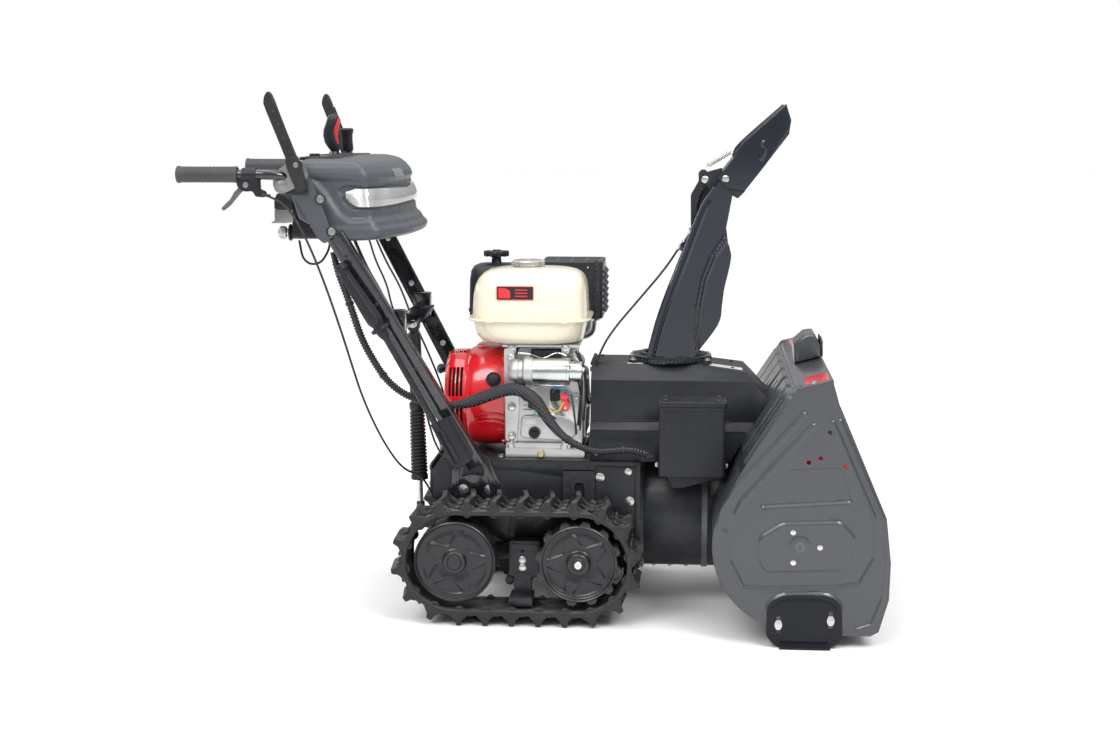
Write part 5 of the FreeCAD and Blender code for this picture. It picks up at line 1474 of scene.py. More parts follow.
def make_crankcase():
    """Cast case with its flange, ribs, mounting rails, drain plug and control plate."""
    case = Piece("crankcase_castings", "chassis", "cast_alloy")
    case.prism(rounded([(-76, 355), (104, 355), (106, 366), (104, 376), (-76, 376)], 3), -131, 76, bevel=1.6)
    for y in (-126, 60):
        case.prism(oblong(-75, 372, 72, 388, 4), y, y + 10, bevel=1.4)
    for x in (-64, 58):
        case.lathe([(0, 0), (12, 0), (12, 8), (9, 11), (0, 11)], (x, -118, 376), UP, 28)
        case.bolt((x, -118, 387), UP, 6.5, 6)
    flange = rounded([(-78, 392), (-52, 384), (-44, 470), (-48, 560), (-58, 604), (-80, 604)], 6)
    case.prism(flange, -118, 66, bevel=2.0)
    for z in (402, 470, 585):
        case.lathe([(0, 0), (9, 0), (9, 6), (7.5, 8), (0, 8)], (-62, -118, z), RIGHT, 24)
        case.bolt((-62, -125.5, z), RIGHT, 5.4, 4.6)
    body = rounded([(-60, 378), (100, 378), (102, 400), (100, 536), (84, 552), (-50, 552)], 10)
    case.prism(body, -112.5, 62, bevel=5.0, segments=3)
    side = rounded([(-44, 398), (66, 392), (84, 404), (86, 436), (58, 452), (-40, 450)], 12)
    case.prism(side, -120, -108, bevel=3.5, segments=3)
    window = oblong(-34, 430, -6, 446, 4)
    case.prism(window, -122.5, -118, bevel=1.4)
    for z in (462, 472, 482, 492):
        case.prism(oblong(-38, z - 1.8, 2, z + 1.8, 1.6), -117, -110, bevel=0.8, segments=1)
    cover = rounded([(84, 388), (106, 396), (108, 470), (104, 540), (88, 548)], 8)
    case.prism(cover, -98, 50, bevel=3.0)
    for y, z in ((-90, 400), (-90, 470), (-88, 536), (-30, 392), (42, 400), (42, 536)):
        case.bolt((107.5, y, z), AHEAD, 5.4, 4.6)
    case.prism(rounded([(-60, 548), (96, 548), (98, 566), (60, 604), (-52, 604)], 10), -84, 20, bevel=4.0,
               segments=3)
    case.lathe([(0, 0), (17, 0), (17, 5), (14, 9), (0, 9)], (-10, -112, 412), RIGHT, 32)
    case.use("brass")
    case.lathe([(0, 0), (10.5, 0), (10.5, 4), (8, 4.4), (8, 9), (6.6, 10.2), (0, 10.2)], (6, -130, 364),
               RIGHT, 6, bevel=0.8)
    case.use("moulded_black")
    case.lathe([(0, 0), (13, 0), (13, 6), (11, 8), (4, 8.5), (0, 8.5)], (-10, -121, 412), RIGHT, 24)
    case.box((-5, -140, 409.5), (-15, -128, 414.5), 1.2)
    case.done("engine_block", angle=40)

    head = Piece("cylinder_and_head", "chassis", "cast_alloy")
    tilt = turned((0, 0, CRANK_Z), 14, "X") @ Matrix.Translation((0, 0, -CRANK_Z))
    head.box((-52, 40, 440), (68, 150, 548), 6.0, tilt)
    for i in range(9):
        y = 62 + i * 9.5
        head.prism(oblong(-60, 432, 76, 556, 9), y, y + 3.4, bevel=0.9, matrix=tilt, segments=1)
    head.prism(oblong(-54, 436, 70, 552, 14), 152, 178, bevel=4.0, matrix=tilt)
    for x, z in ((-42, 448), (58, 448), (-42, 540), (58, 540)):
        head.bolt(tilt @ Vector((x, 178, z)), tilt.to_3x3() @ Vector(LEFT), 7, 6)
    head.use("moulded_black")
    plug = tilt @ Vector((8, 176, 478))
    head.lathe([(0, 0), (13, 0), (13, 12), (10, 26), (6, 30), (0, 30)], plug,
               tilt.to_3x3() @ Vector((0, 0.8, 0.6)), 24)
    lead = [plug + Vector((0, 22, 18)), plug + Vector((-30, 24, 30)), plug + Vector((-70, -10, 34)),
            plug + Vector((-110, -60, 34))]
    head.pipe(lead, 3.6, sides=10)
    head.done(angle=40)


def make_engine_upper():
    """Tank posts, governor arm, springs and linkages under the tank."""
    piece = Piece("tank_rack", "chassis", "bright_steel", "cast_alloy")
    rack = oblong(-84, 607, 92, 612.6, 1.5)
    piece.prism(rack, -112, 60, bevel=1.0)
    for x in (-62, 60):
        piece.prism([(x - 8, 592), (x + 8, 592), (x + 11, 613), (x - 11, 613)], -112, -96, bevel=1.6)
        piece.lathe([(0, 0), (6.5, 0), (6.5, 3), (4, 4), (4, 16), (0, 16)], (x, -106, 590), DOWN, 20)
        piece.bolt((x, -113, 604), RIGHT, 5.4, 4.4)
    piece.use("bright_steel")
    piece.prism([(-30, 590), (-22, 590), (6, 556), (0, 552)], -124, -121, bevel=0.6)
    piece.prism([(66, 560), (74, 560), (92, 610), (84, 612)], -104, -100, bevel=0.8)
    turns, start, end = 12, Vector((-46, -122, 594)), Vector((-18, -122, 592))
    coil = []
    for i in range(turns * 8 + 1):
        angle = 2 * math.pi * i / 8
        here = start.lerp(end, i / (turns * 8))
        coil.append(here + Vector((0, 3.6 * math.cos(angle), 3.6 * math.sin(angle))))
    piece.pipe(coil, 0.8, sides=6, steps=1)
    piece.pipe([(-18, -122, 592), (10, -124, 584), (40, -124, 596), (62, -120, 590)], 1.4, sides=8)
    piece.use("moulded_black")
    piece.box((-20, -110, 566), (48, -70, 600), 4)
    piece.pipe([(84, -118, 600), (96, -124, 570), (98, -128, 520), (94, -126, 470), (90, -122, 430)], 2.6,
               sides=10)
    piece.pipe([(90, -116, 596), (103, -120, 560), (106, -122, 500), (103, -118, 440)], 2.2, sides=10)
    piece.pipe([(66, -122, 586), (84, -138, 575), (90, -146, 562)], 2.0, sides=8)
    piece.done(angle=40)


def make_starter():
    """Electric starter: nose, body, through bolts, terminal and its short lead."""
    piece = Piece("starter_housing", "chassis", "bright_steel", "cast_alloy")
    y, z = -146, 557
    piece.lathe([(0, -66), (18, -66), (24, -62), (27, -52), (28, -44), (26, -42), (26, -34), (31, -31),
                 (32.5, -28), (32.5, -12), (31, -10), (0, -10)], (0, y, z), AHEAD, 56)
    piece.use("zinc")
    piece.lathe([(0, -10), (30, -10), (30.5, -8), (30.5, 66), (31.5, 67), (31.5, 71), (30, 73), (25, 74),
                 (24, 78), (24, 98), (22, 101), (0, 102)], (0, y, z), AHEAD, 56)
    piece.box((-8, y - 4, z - 33), (60, y + 10, z - 28), 1.5)
    piece.use("cast_alloy")
    piece.prism(rounded([(-58, 520), (-6, 510), (6, 530), (0, 566), (-50, 572)], 8), -128, -108, bevel=2.5)
    for x in (-46, -12):
        piece.bolt((x, -132, 532), RIGHT, 5.6, 5)
    piece.use("bright_steel")
    for dy, dz in ((-22, 14), (22, -14)):
        piece.rod((-12, y + dy * 1.42, z + dz * 1.42), (80, y + dy * 1.42, z + dz * 1.42), 1.8, 0.4, 10)
        piece.bolt((74, y + dy, z + dz), AHEAD, 3.6, 4)
    piece.rod((101, y, z + 4), (106, y, z + 4), 4.2, 0.6, 20)
    piece.disc(7, 3.5, (101.5, y, z + 4), AHEAD, 6, bevel=0.5)
    piece.use("moulded_black")
    piece.pipe([(-40, y - 14, z - 26), (-40, y - 18, z - 44), (-28, y - 22, z - 58), (-14, y - 30, z - 62)],
               5.2, sides=12)
    piece.lathe([(0, 0), (12, 0), (14, 5), (12, 12), (7, 18), (0, 18)], (-38, y - 10, z - 20),
                (-0.2, -0.5, -0.8), 20)
    piece.done("starter_motor", angle=40)


def make_wiring():
    """Relay, coloured leads, black leads and throttle plate, and the throttle lever."""
    piece = Piece("wiring_details", "chassis", "cable_black", "moulded_black")
    piece.box((26, -130, 486), (48, -113, 512), 2.0)
    piece.box((-24, -128, 468), (4, -113, 482), 2.0)
    piece.use("zinc")
    piece.prism(rounded([(24, 424), (96, 420), (96, 502), (60, 508), (24, 500)], 6), -117, -113.5, bevel=0.8)
    for x, z in ((34, 432), (86, 430), (86, 492)):
        piece.screw((x, -117, z), RIGHT, 4, 2.4)
    wires = (("wire_blue", 1.3, [(32, -131, 506), (40, -140, 516), (58, -142, 512), (72, -134, 500)]),
             ("wire_yellow", 1.3, [(50, -140, 505), (58, -146, 488), (46, -150, 468), (24, -150, 462)]),
             ("wire_yellow", 1.3, [(22, -146, 480), (28, -152, 470), (38, -150, 464), (52, -142, 468)]),
             ("wire_green", 1.4, [(-2, -138, 470), (-8, -142, 462), (-2, -144, 454), (10, -144, 452)]),
             ("wire_blue", 1.1, [(4, -134, 528), (20, -140, 526), (44, -142, 520), (60, -138, 522)]),
             ("wire_red", 1.3, [(70, -130, 388), (80, -138, 396), (92, -142, 392), (100, -138, 380)]))
    for finish, radius, points in wires:
        piece.use(finish)
        piece.pipe(points, radius, sides=8)
    piece.use("cable_black")
    for points in ([(74, -118, 500), (80, -130, 470), (84, -134, 440), (86, -126, 410)],
                   [(88, -112, 540), (96, -128, 500), (97, -132, 460), (94, -124, 420)],
                   [(-20, -120, 470), (0, -134, 466), (24, -140, 458), (40, -132, 446)]):
        piece.pipe(points, 2.0, sides=8)
    piece.done()

    throttle = Piece("throttle_blade", "throttle_lever", "engine_red")
    px, pz = 62.0, 474.0
    throttle.prism(rounded([(px - 9, pz - 9), (px + 9, pz - 9), (px + 11, pz + 8), (px + 4, pz + 16),
                            (px + 2, pz + 32), (px - 9, pz + 32), (px - 8, pz + 4)], [7, 7, 6, 4, 4, 5, 5]),
                   -147, -142, bevel=1.2)
    throttle.prism(rounded([(px - 11, pz + 20), (px + 6, pz + 20), (px + 7, pz + 31), (px - 10, pz + 34)],
                           4), -152, -141, bevel=1.6)
    throttle.screw((px, -147, pz), RIGHT, 4.6, 2.6)
    throttle.done("throttle_lever")


def centre_line(cord):
    """Smooth line of a cord, in millimetres, read from its own spline."""
    data = cord.data.copy()
    data.bevel_depth = 0.0
    probe = bpy.data.objects.new("probe", data)
    mesh = bpy.data.meshes.new_from_object(probe)
    line = [v.co / MM for v in mesh.vertices]
    bpy.data.objects.remove(probe)
    bpy.data.curves.remove(data)
    bpy.data.meshes.remove(mesh)
    return line


def make_harness_sleeves(harness):
    """Thick woven sleeve over the middle of the harness, corrugated conduit at its ends, and ties."""
    line = centre_line(harness)
    lengths = [0.0]
    for a, b in zip(line, line[1:]):
        lengths.append(lengths[-1] + (b - a).length)
    total = lengths[-1]

    def at(distance):
        for i in range(len(line) - 1):
            if lengths[i + 1] >= distance:
                share = (distance - lengths[i]) / (lengths[i + 1] - lengths[i])
                return line[i].lerp(line[i + 1], share), (line[i + 1] - line[i]).normalized()
        return line[-1], (line[-1] - line[-2]).normalized()

    conduit = Piece("harness_conduit", "chassis", "cable_black")
    step = 1.7
    for low, high in ((total * 0.02, total * 0.50), (total * 0.80, total * 0.985)):
        rings = []
        distance, k = low, 0
        while distance < high:
            here, along = at(distance)
            side = (side - along * side.dot(along) if rings else along.orthogonal()).normalized()
            up = along.cross(side)
            radius = 8.8 if k % 4 < 2 else 6.9
            rings.append([here + side * radius * math.cos(a) + up * radius * math.sin(a)
                          for a in circle(16)])
            distance += step
            k += 1
        conduit.loft(rings)
    conduit.done(angle=60)
    sleeve = Piece("harness_sleeve", "chassis", "cable_black", "braid")
    points, share = [], 0.47
    while share < 0.83:
        points.append(at(total * share)[0])
        share += 0.02
    sleeve.pipe(points, lambda t: 7.6 + 6.6 * min(1.0, max(0.0, t / 0.2), max(0.0, (1 - t) / 0.35)), sides=20,
                steps=4)
    sleeve.use("moulded_black")
    for share in (0.12, 0.30, 0.50, 0.66, 0.80, 0.93):
        here, along = at(total * share)
        wide = 13.6 if 0.55 < share < 0.78 else 9.6
        sleeve.lathe(rectangle(wide - 1.5, -2.2, wide, 2.2), here, along, 24, closed=True)
        up = along.orthogonal().normalized()
        sleeve.box((wide - 1, -2.8, -2.8), (wide + 4, 2.8, 2.8), 0.8,
                   Matrix.Translation(here) @ frame_along(along), 1)
    sleeve.done(angle=50)


def make_muffler():
    """Guard box with louvres on its front end, vent holes on top shown as slots of painted shade with rims,
    and rivets.
    """
    guard = Piece("muffler_guard", "chassis", "moulded_black", "frame_black")
    body = oblong(-14, 100, 134, 240, 12)
    guard.prism(body, 648, 785.5, "z", 5.0, segments=3)
    for x in (6, 40, 74, 108):
        for y in (128, 170, 212):
            # Near-black slot on the guard's top: painted shade standing for the vent hole.
            guard.use("painted_hole_shade")
            guard.prism(oblong(x - 12, y - 3.4, x + 12, y + 3.4, 3.3), 785.0, 785.9, "z", 0)
            guard.use("frame_black")
            ring = [Vector((x + a, y + b, 785.8)) for a, b in oblong(-13, -4.4, 13, 4.4, 4.2)]
            guard.pipe(ring + ring[:1], 0.9, sides=6, steps=1)
    for i in range(7):
        z = 668 + i * 15
        for y0, y1 in ((112, 164), (176, 228)):
            guard.prism([(133, z), (141.5, z - 5), (142.5, z - 3.5), (136, z + 5), (133, z + 6)], y0, y1,
                        bevel=0.6)
    guard.prism(oblong(112, 648, 126, 786, 2), 98.4, 101, bevel=0.8)
    for z in (668, 716, 764):
        guard.screw((119, 98.4, z), RIGHT, 3.0, 1.8, "frame_black")
        guard.screw((98, 100, z + 6), RIGHT, 2.2, 1.4)
    guard.use("bright_steel")
    guard.pipe([(60, 150, 606), (84, 150, 606), (100, 150, 616), (104, 150, 650)], 14, sides=24, steps=8)
    guard.lathe(rectangle(13, 0, 22, 5), (104, 150, 640), UP, 32, closed=True)
    guard.use("frame_black")
    guard.prism([(-8, 640), (60, 640), (66, 650), (-8, 650)], 108, 112, bevel=0.8)
    guard.done("muffler", angle=40)


def make_air_cleaner():
    """Air cleaner cover with its knob, and the carburettor body below it."""
    piece = Piece("air_cleaner_cover", "chassis", "moulded_black")
    cx, cy = -108.5, 150.5
    knob = (-126, 150, 0)
    levels = [(642, 76, 50, 4), (645, 79, 53, 5), (660, 80.5, 54.5, 6), (664, 82.5, 56.5, 6),
              (668, 82.5, 56.5, 6), (671, 80.5, 54.5, 6), (740, 79, 53.5, 5.5), (760, 76, 51, 5),
              (770, 70, 45, 4.4), (775, 58, 34, 3.6), (776.5, 20, 12, 2.5)]
    piece.loft([super_ring(cx, cy, a, b, p, z, 72) for z, a, b, p in levels])
    for i in range(7):
        x = cx - 48 + i * 16
        piece.box((x - 1.6, cy - 55.5, 680), (x + 1.6, cy - 53, 736), 0.8, segments=1)
    piece.lathe([(0, 775), (14, 775), (12, 780), (11, 790), (16, 793), (26, 794), (28, 797), (28, 802),
                 (26, 804.5), (10, 805), (9, 808), (0, 808)], knob, UP, 48)
    for i in range(10):
        turn = turned(knob, 36 * i, "Z")
        piece.box((20, -4, 792.5), (30.5, 4, 805.5), 1.8, turn, 2)
    piece.use("cast_alloy")
    piece.box((-112, 98, 604), (-62, 146, 642), 5.0)
    piece.rod((-64, 122, 622), (-46, 122, 622), 12)
    piece.lathe([(0, 0), (16, 0), (18, 4), (18, 18), (14, 24), (0, 25)], (-87, 122, 604), DOWN, 32)
    piece.use("brass")
    piece.disc(5, 6, (-87, 122, 579), DOWN, 6, bevel=0.5)
    piece.done("air_cleaner", angle=40)


# ---------------------------------------------------------------- handle, console and controls
BEAM_LOW, BEAM_TOP = Vector((-140, -166, 343)), Vector((-430, -263, 864))


def make_beams():
    """Pressed channel beams, open towards the middle, with foot plates and the strut tie."""
    along = (BEAM_TOP - BEAM_LOW).normalized()
    across = Vector(AHEAD) - along * along.x
    across.normalize()
    outward = across.cross(along)
    if outward.y > 0:
        outward.negate()
    turn = Matrix((across, outward, across.cross(outward))).transposed().to_4x4()
    sign = -1 if (turn.to_3x3() @ Vector(UP)).dot(along) < 0 else 1
    length = (BEAM_TOP - BEAM_LOW).length
    place = Matrix.Translation(BEAM_LOW) @ turn
    section = [(-21, -10), (-21, 5), (-20, 8), (-17, 10), (17, 10), (20, 8), (21, 5), (21, -10), (16, -10),
               (16, -7.4), (18.4, -7.4), (18.4, 5), (16.5, 7.4), (-16.5, 7.4), (-18.4, 5), (-18.4, -7.4),
               (-16, -7.4), (-16, -10)]
    beams = Piece("beam_channels", "chassis", "gloss_black")
    ends = sorted((sign * -2, sign * (length + 8)))
    beams.prism(section, *ends, axis="z", bevel=0.7, matrix=place)
    for share in (0.12, 0.44, 0.72, 0.93):
        seat = BEAM_LOW + (BEAM_TOP - BEAM_LOW) * share
        beams.screw(seat + outward * 10, outward, 4.4, 2.6, "frame_black")
        beams.bolt(seat + outward * 7, -outward, 5.4, 5)
    foot = rounded([(-198, 262), (-92, 262), (-86, 300), (-112, 360), (-150, 372), (-196, 330)], 8)
    beams.prism(foot, -158, -151, bevel=1.4)
    beams.prism([(-192, 268), (-182, 268), (-178, 340), (-190, 332)], -162.5, -156, bevel=2.0)
    beams.prism([(-106, 268), (-96, 268), (-96, 300), (-114, 352), (-122, 350)], -162.5, -156, bevel=2.0)
    beams.use("frame_black")
    rib = [(-172, 318), (-120, 322), (-134, 352), (-166, 346)]
    beams.prism(rounded(rib, 6), -165, -156, bevel=2.5)
    weld = [(-176, -158, 316), (-150, -159, 322), (-122, -158, 318)]
    beams.pipe(weld, 3.2, sides=10)
    for x, z in ((-170, 285), (-110, 285)):
        beams.bolt((x, -157.6, z), RIGHT, 8.5, 3.6)
    beams.mirror()
    beams.use("gloss_black")
    tie = [(-322, 650), (-298, 650), (-298, 654), (-318, 654), (-318, 674), (-322, 676)]
    beams.prism(tie, -207, 207, bevel=0.9)
    wing = rounded([(-326, 640), (-296, 640), (-262, 676), (-256, 690), (-292, 682), (-330, 660)], 7)
    for side in (-1, 1):
        y0, y1 = sorted((side * 11, side * 15.5))
        beams.prism(wing, y0, y1, bevel=1.2)
        y0, y1 = sorted((side * 178, side * 207))
        beams.prism(oblong(-334, 640, -292, 700, 6), y0, y1, bevel=2.0)
    beams.bolt((-305, -15.5, 646), RIGHT, 7, 5)
    beams.bolt((-305, 15.5, 646), LEFT, 7, 5)
    beams.done("handle_beams", angle=38)


def even_ring(points, count):
    """Closed plan outline resampled to a fixed number of evenly spaced points."""
    ring = np.array(points + points[:1], dtype=float)
    steps = np.hypot(*np.diff(ring, axis=0).T)
    travel = np.concatenate(([0.0], np.cumsum(steps)))
    wanted = np.linspace(0, travel[-1], count, endpoint=False)
    return np.column_stack([np.interp(wanted, travel, ring[:, k]) for k in (0, 1)])


def console_plan(z, count=240):
    """Plan outline of the console at height z, starting at the middle of its rear edge."""
    heights = (857, 860, 866, 878, 884, 892, 907, 927, 980, 1004, 1018, 1026, 1031, 1033)
    fronts = (-296, -288, -281, -278, -281, -290, -295, -298, -309, -319, -332, -343, -358, -372)
    corners = (-352, -344, -338, -335, -337, -344, -348, -350, -356, -362, -370, -378, -390, -400)
    widths = (258, 262, 264.5, 266, 265.4, 263, 262.4, 262, 260, 258.5, 255, 250, 243, 236)
    front, corner, wide = (np.interp(z, heights, values) for values in (fronts, corners, widths))
    rear = np.interp(z, (857, 864, 880, 905, 950, 1000, 1018, 1028, 1033),
                     (-424, -432, -468, -516, -531, -536, -531, -522, -508))
    bow = [(front - (front - corner) * (abs(t) ** 2.2), -wide * t)
           for t in (0.82, 0.6, 0.4, 0.2, 0, -0.2, -0.4, -0.6, -0.82)]
    outline = [(rear, 0), (rear, -wide), (corner, -wide), *bow, (corner, wide), (rear, wide)]
    radii = [0, 14, 48] + [6] * len(bow) + [48, 14]
    return even_ring(rounded(outline, radii, 8), count)


def outward_of(ring):
    """Outward normals of a plan outline."""
    tangent = np.roll(ring, -1, axis=0) - np.roll(ring, 1, axis=0)
    normal = np.column_stack([tangent[:, 1], -tangent[:, 0]])
    normal /= np.linalg.norm(normal, axis=1)[:, None]
    centre = ring.mean(axis=0)
    facing = np.sign(((ring - centre) * normal).sum(axis=1).mean())
    return normal * facing


def frontness(ring):
    """0 on the console's sides, 1 in the middle of its front."""
    return np.clip((ring[:, 0] + 350) / 55.0, 0, 1) * np.clip(1.15 - np.abs(ring[:, 1]) / 240.0, 0, 1)


def console_offset(ring, z):
    """Pressed groove that holds the lamp lens, as a distance inside the plan outline."""
    groove = [(-482, 992), (-455, 962), (-441, 938), (-424, 914), (-403, 902), (-340, 904), (-180, 906),
              (-180, 986), (-330, 988), (-400, 990)]
    lens = [(-428, 970), (-412, 936), (-396, 925), (-330, 928), (-180, 934), (-180, 968), (-330, 974),
            (-412, 977)]
    points = np.column_stack([ring[:, 0], np.full(len(ring), float(z))])
    depth = plateau(points, groove, 15.0, 9.0) + plateau(points, lens, 2.5, 5.0)
    return np.where(ring[:, 0] > -500, depth, 0.0)


def sheet_grid(piece, rows, thickness):
    """Sheet through rows of points."""
    part = bmesh.new()
    verts = [[part.verts.new(point) for point in row] for row in rows]
    count = len(rows[0])
    for a, b in zip(verts, verts[1:]):
        for i in range(count - 1):
            part.faces.new((a[i], a[i + 1], b[i + 1], b[i]))
    bmesh.ops.recalc_face_normals(part, faces=part.faces)
    if thickness:
        bmesh.ops.solidify(part, geom=part.faces[:], thickness=thickness)
    piece.take(part)


def make_console():
    """Console shell with its deck, gate and rings, and the lamp lens over its reflector."""
    shell = Piece("console_shell", "chassis", "console_grey")
    levels = [857, 858.5, 860.5, 863, 866, 870, 875, 879, 883, 888] + [892 + 3 * i for i in range(38)] \
        + [1005, 1009, 1013, 1017, 1020, 1023, 1026, 1028.5, 1030.5, 1032, 1033]
    rings = []
    for z in levels:
        ring = console_plan(z)
        ring = ring - outward_of(ring) * console_offset(ring, z)[:, None]
        tilt = np.interp(z, (857, 880), (1, 0))
        rings.append([(x, y, z + tilt * 6 * max(0, (x + 420) / 130) * 0.8) for x, y in ring])
    centre = np.mean(np.array(rings[-1]), axis=0)
    top = np.array(rings[-1])
    for shrink, z in ((0.97, 1034.0), (0.9, 1035.0), (0.6, 1036.2), (0.25, 1037.0)):
        rings.append([(centre[0] + (x - centre[0]) * shrink, y * shrink, z) for x, y, _ in top])
    shell.loft(rings)
    shell.use("moulded_black")
    shell.prism(oblong(-528, -196, -436, 196, 14), 1031, 1038.0, "z", 2.0)
    shell.use("console_grey")
    gate = oblong(-540, -14, -452, 14, 6)
    shell.prism(gate, 1033, 1039, "z", 1.6)
    for index in (-1, 1):
        shell.prism(oblong(-530, index * 70 - 24, -480, index * 70 + 24, 8), 1032, 1038.2, "z", 1.6)
    # Near-black strip in the gear gate: painted shade for the slot.
    shell.use("painted_hole_shade")
    shell.prism(oblong(-535, -9, -457, 9, 4), 1038.6, 1039.4, "z", 0)
    shell.use("moulded_black")
    shell.lathe([(17, 0), (26, 0), (26, 1.6), (22, 2.4), (21.6, 3.2), (19.6, 3.5), (19.2, 4.4), (17, 4.6)],
                (STICK_X, STICK_Y, 1034), UP, 40, closed=True)
    for index in (-1, 1):
        shell.box((-520, index * 110 - 8, 1036), (-498, index * 110 + 8, 1044), 2.5)
    shell.use("badge_grey")
    ring = console_plan(1000)
    columns = [i for i in range(len(ring)) if -126 < ring[i, 1] < -50 and ring[i, 0] > -372]
    rows = []
    for z in (992, 998, 1004, 1010):
        ring = console_plan(z)
        normal = outward_of(ring)
        rows.append([(*(ring[i] + normal[i] * 0.5), z) for i in columns])
    sheet_grid(shell, rows, -0.6)
    shell.done("console", angle=34)

    lens = Piece("console_lens_cover", "chassis", "clear_lens")
    reflector = Piece("console_reflector", "chassis", "bright_steel", "lamp_chrome")
    middle = console_plan(950)
    columns = [i for i in range(len(middle)) if middle[i, 0] > -414]
    for piece, offset, thickness, steps in ((lens, -4.5, 2.0, 10), (reflector, -12.5, 0.0, 36)):
        rows = []
        for k in range(steps + 1):
            row = []
            for i in columns:
                front = frontness(middle)[i]
                point = max(0.0, min(1.0, (middle[i, 0] + 414) / 26)) ** 0.6
                low, high = 931 + 6 * front, 971 - 6 * front
                mid = 952 + 14 * (1 - point)
                z = mid + (low - mid) * point + ((high - mid) * point - (low - mid) * point) * k / steps
                ring = console_plan(z)
                bulge = 3.5 * math.sin(math.pi * k / steps) if offset > -10 else 1.6 * (k % 2)
                normal = outward_of(ring)[i]
                row.append((*(ring[i] + normal * (offset + bulge * point)), z))
            rows.append(row)
        sheet_grid(piece, rows, thickness)
    reflector.done(angle=30)
    lens.done("console_lens", angle=40)


def make_brackets():
    """Grey side plates of the console with their bolts, and the pivot clevis of each clutch lever."""
    plates = Piece("handle_side_plates", "chassis", "console_grey")
    outline = rounded([(-545, 984), (-530, 1010), (-500, 1014), (-480, 992), (-446, 905), (-436, 868),
                       (-452, 852), (-470, 866), (-500, 925), (-524, 962)],
                      [10, 8, 10, 8, 12, 10, 8, 10, 20, 14])
    plates.prism(outline, -288, -282, bevel=1.4)
    for x, z in ((-460, 950), (-436, 880)):
        plates.use("moulded_black")
        plates.lathe([(0, 0), (12, 0), (12, 2), (10, 3), (0, 3)], (x, -288, z), RIGHT, 32)
        plates.bolt((x, -290.5, z), RIGHT, 6.2, 4.2, finish="bracket_zinc")
    plates.use("bracket_zinc")
    clevis = rounded([(-565, 984), (-556, 962), (-534, 964), (-498, 982), (-484, 1000), (-500, 1034),
                      (-530, 1030), (-556, 1008)], [14, 14, 8, 10, 8, 12, 14, 14])
    plates.prism(clevis, -292.5, -288.5, bevel=1.2)
    plates.prism(clevis, -282, -278, bevel=1.2)
    plates.lathe([(0, 0), (13, 0), (13, 1.6), (11, 2.4), (0, 2.4)], (-546, -292.5, 980), RIGHT, 32)
    plates.bolt((-546, -294.5, 980), RIGHT, 6.0, 4.2, finish="bracket_zinc")
    plates.use("moulded_black")
    plates.box((-536, -291, 960), (-486, -270, 974), 3)
    plates.mirror()
    plates.done("handle_brackets", angle=38)


def make_bars():
    """Handle tubes with the lever cheeks, and the foam grips."""
    bars = Piece("handle_tubes", "chassis", "gloss_black")
    bars.pipe([(-642, BAR_Y, 1003), (-600, BAR_Y, 1003), (-570, -298, 1002.5), (-545, -288, 1000),
               (-520, -270, 996), (-500, -256, 992)], 11.2, sides=28, steps=8)
    cheek = rounded([(-640, 1001), (-638, 976), (-622, 966), (-604, 968), (-598, 956), (-578, 954),
                     (-576, 966), (-590, 972), (-592, 1000)], [3, 8, 8, 6, 4, 4, 4, 5, 3])
    bars.use("moulded_black")
    bars.prism(cheek, -295, -291, bevel=1.2)
    bars.prism(cheek, -309, -305, bevel=1.2)
    bars.box((-600, -305, 972), (-588, -295, 994), 1.5)
    bars.lathe([(11, -15), (14.5, -15), (15, -12), (15, 12), (14.5, 15), (11, 15)], (-612, BAR_Y, 1003),
               AHEAD, 36, closed=True)
    bars.rod((-584, BAR_Y, 960), (-566, BAR_Y, 957), 4.4, 0.8, 20, 3.0)
    bars.bolt((-619, -309, 981), RIGHT, 4.6, 3.2, finish="bracket_zinc")
    bars.mirror()
    bars.done("handle_bars", angle=40)

    grips = Piece("foam_grips", "chassis", "grip_rubber")
    profile = [(0, 0), (14, 0), (18, 1.5), (19, 4), (18.6, 7), (17.4, 9), (17.2, 30), (17.0, 66), (17.2, 110),
               (17.5, 127), (18.2, 130), (18, 133), (16.5, 134.5), (11.4, 134.5)]
    grips.lathe(profile, (-772, BAR_Y, 1003), AHEAD, 48)
    for i in range(14):
        grips.lathe([(16.9, -1.0), (17.6, -0.5), (17.6, 0.5), (16.9, 1.0)], (-754 + i * 8, BAR_Y, 1003),
                    AHEAD, 48)
    grips.mirror()
    grips.done("grips", angle=30)


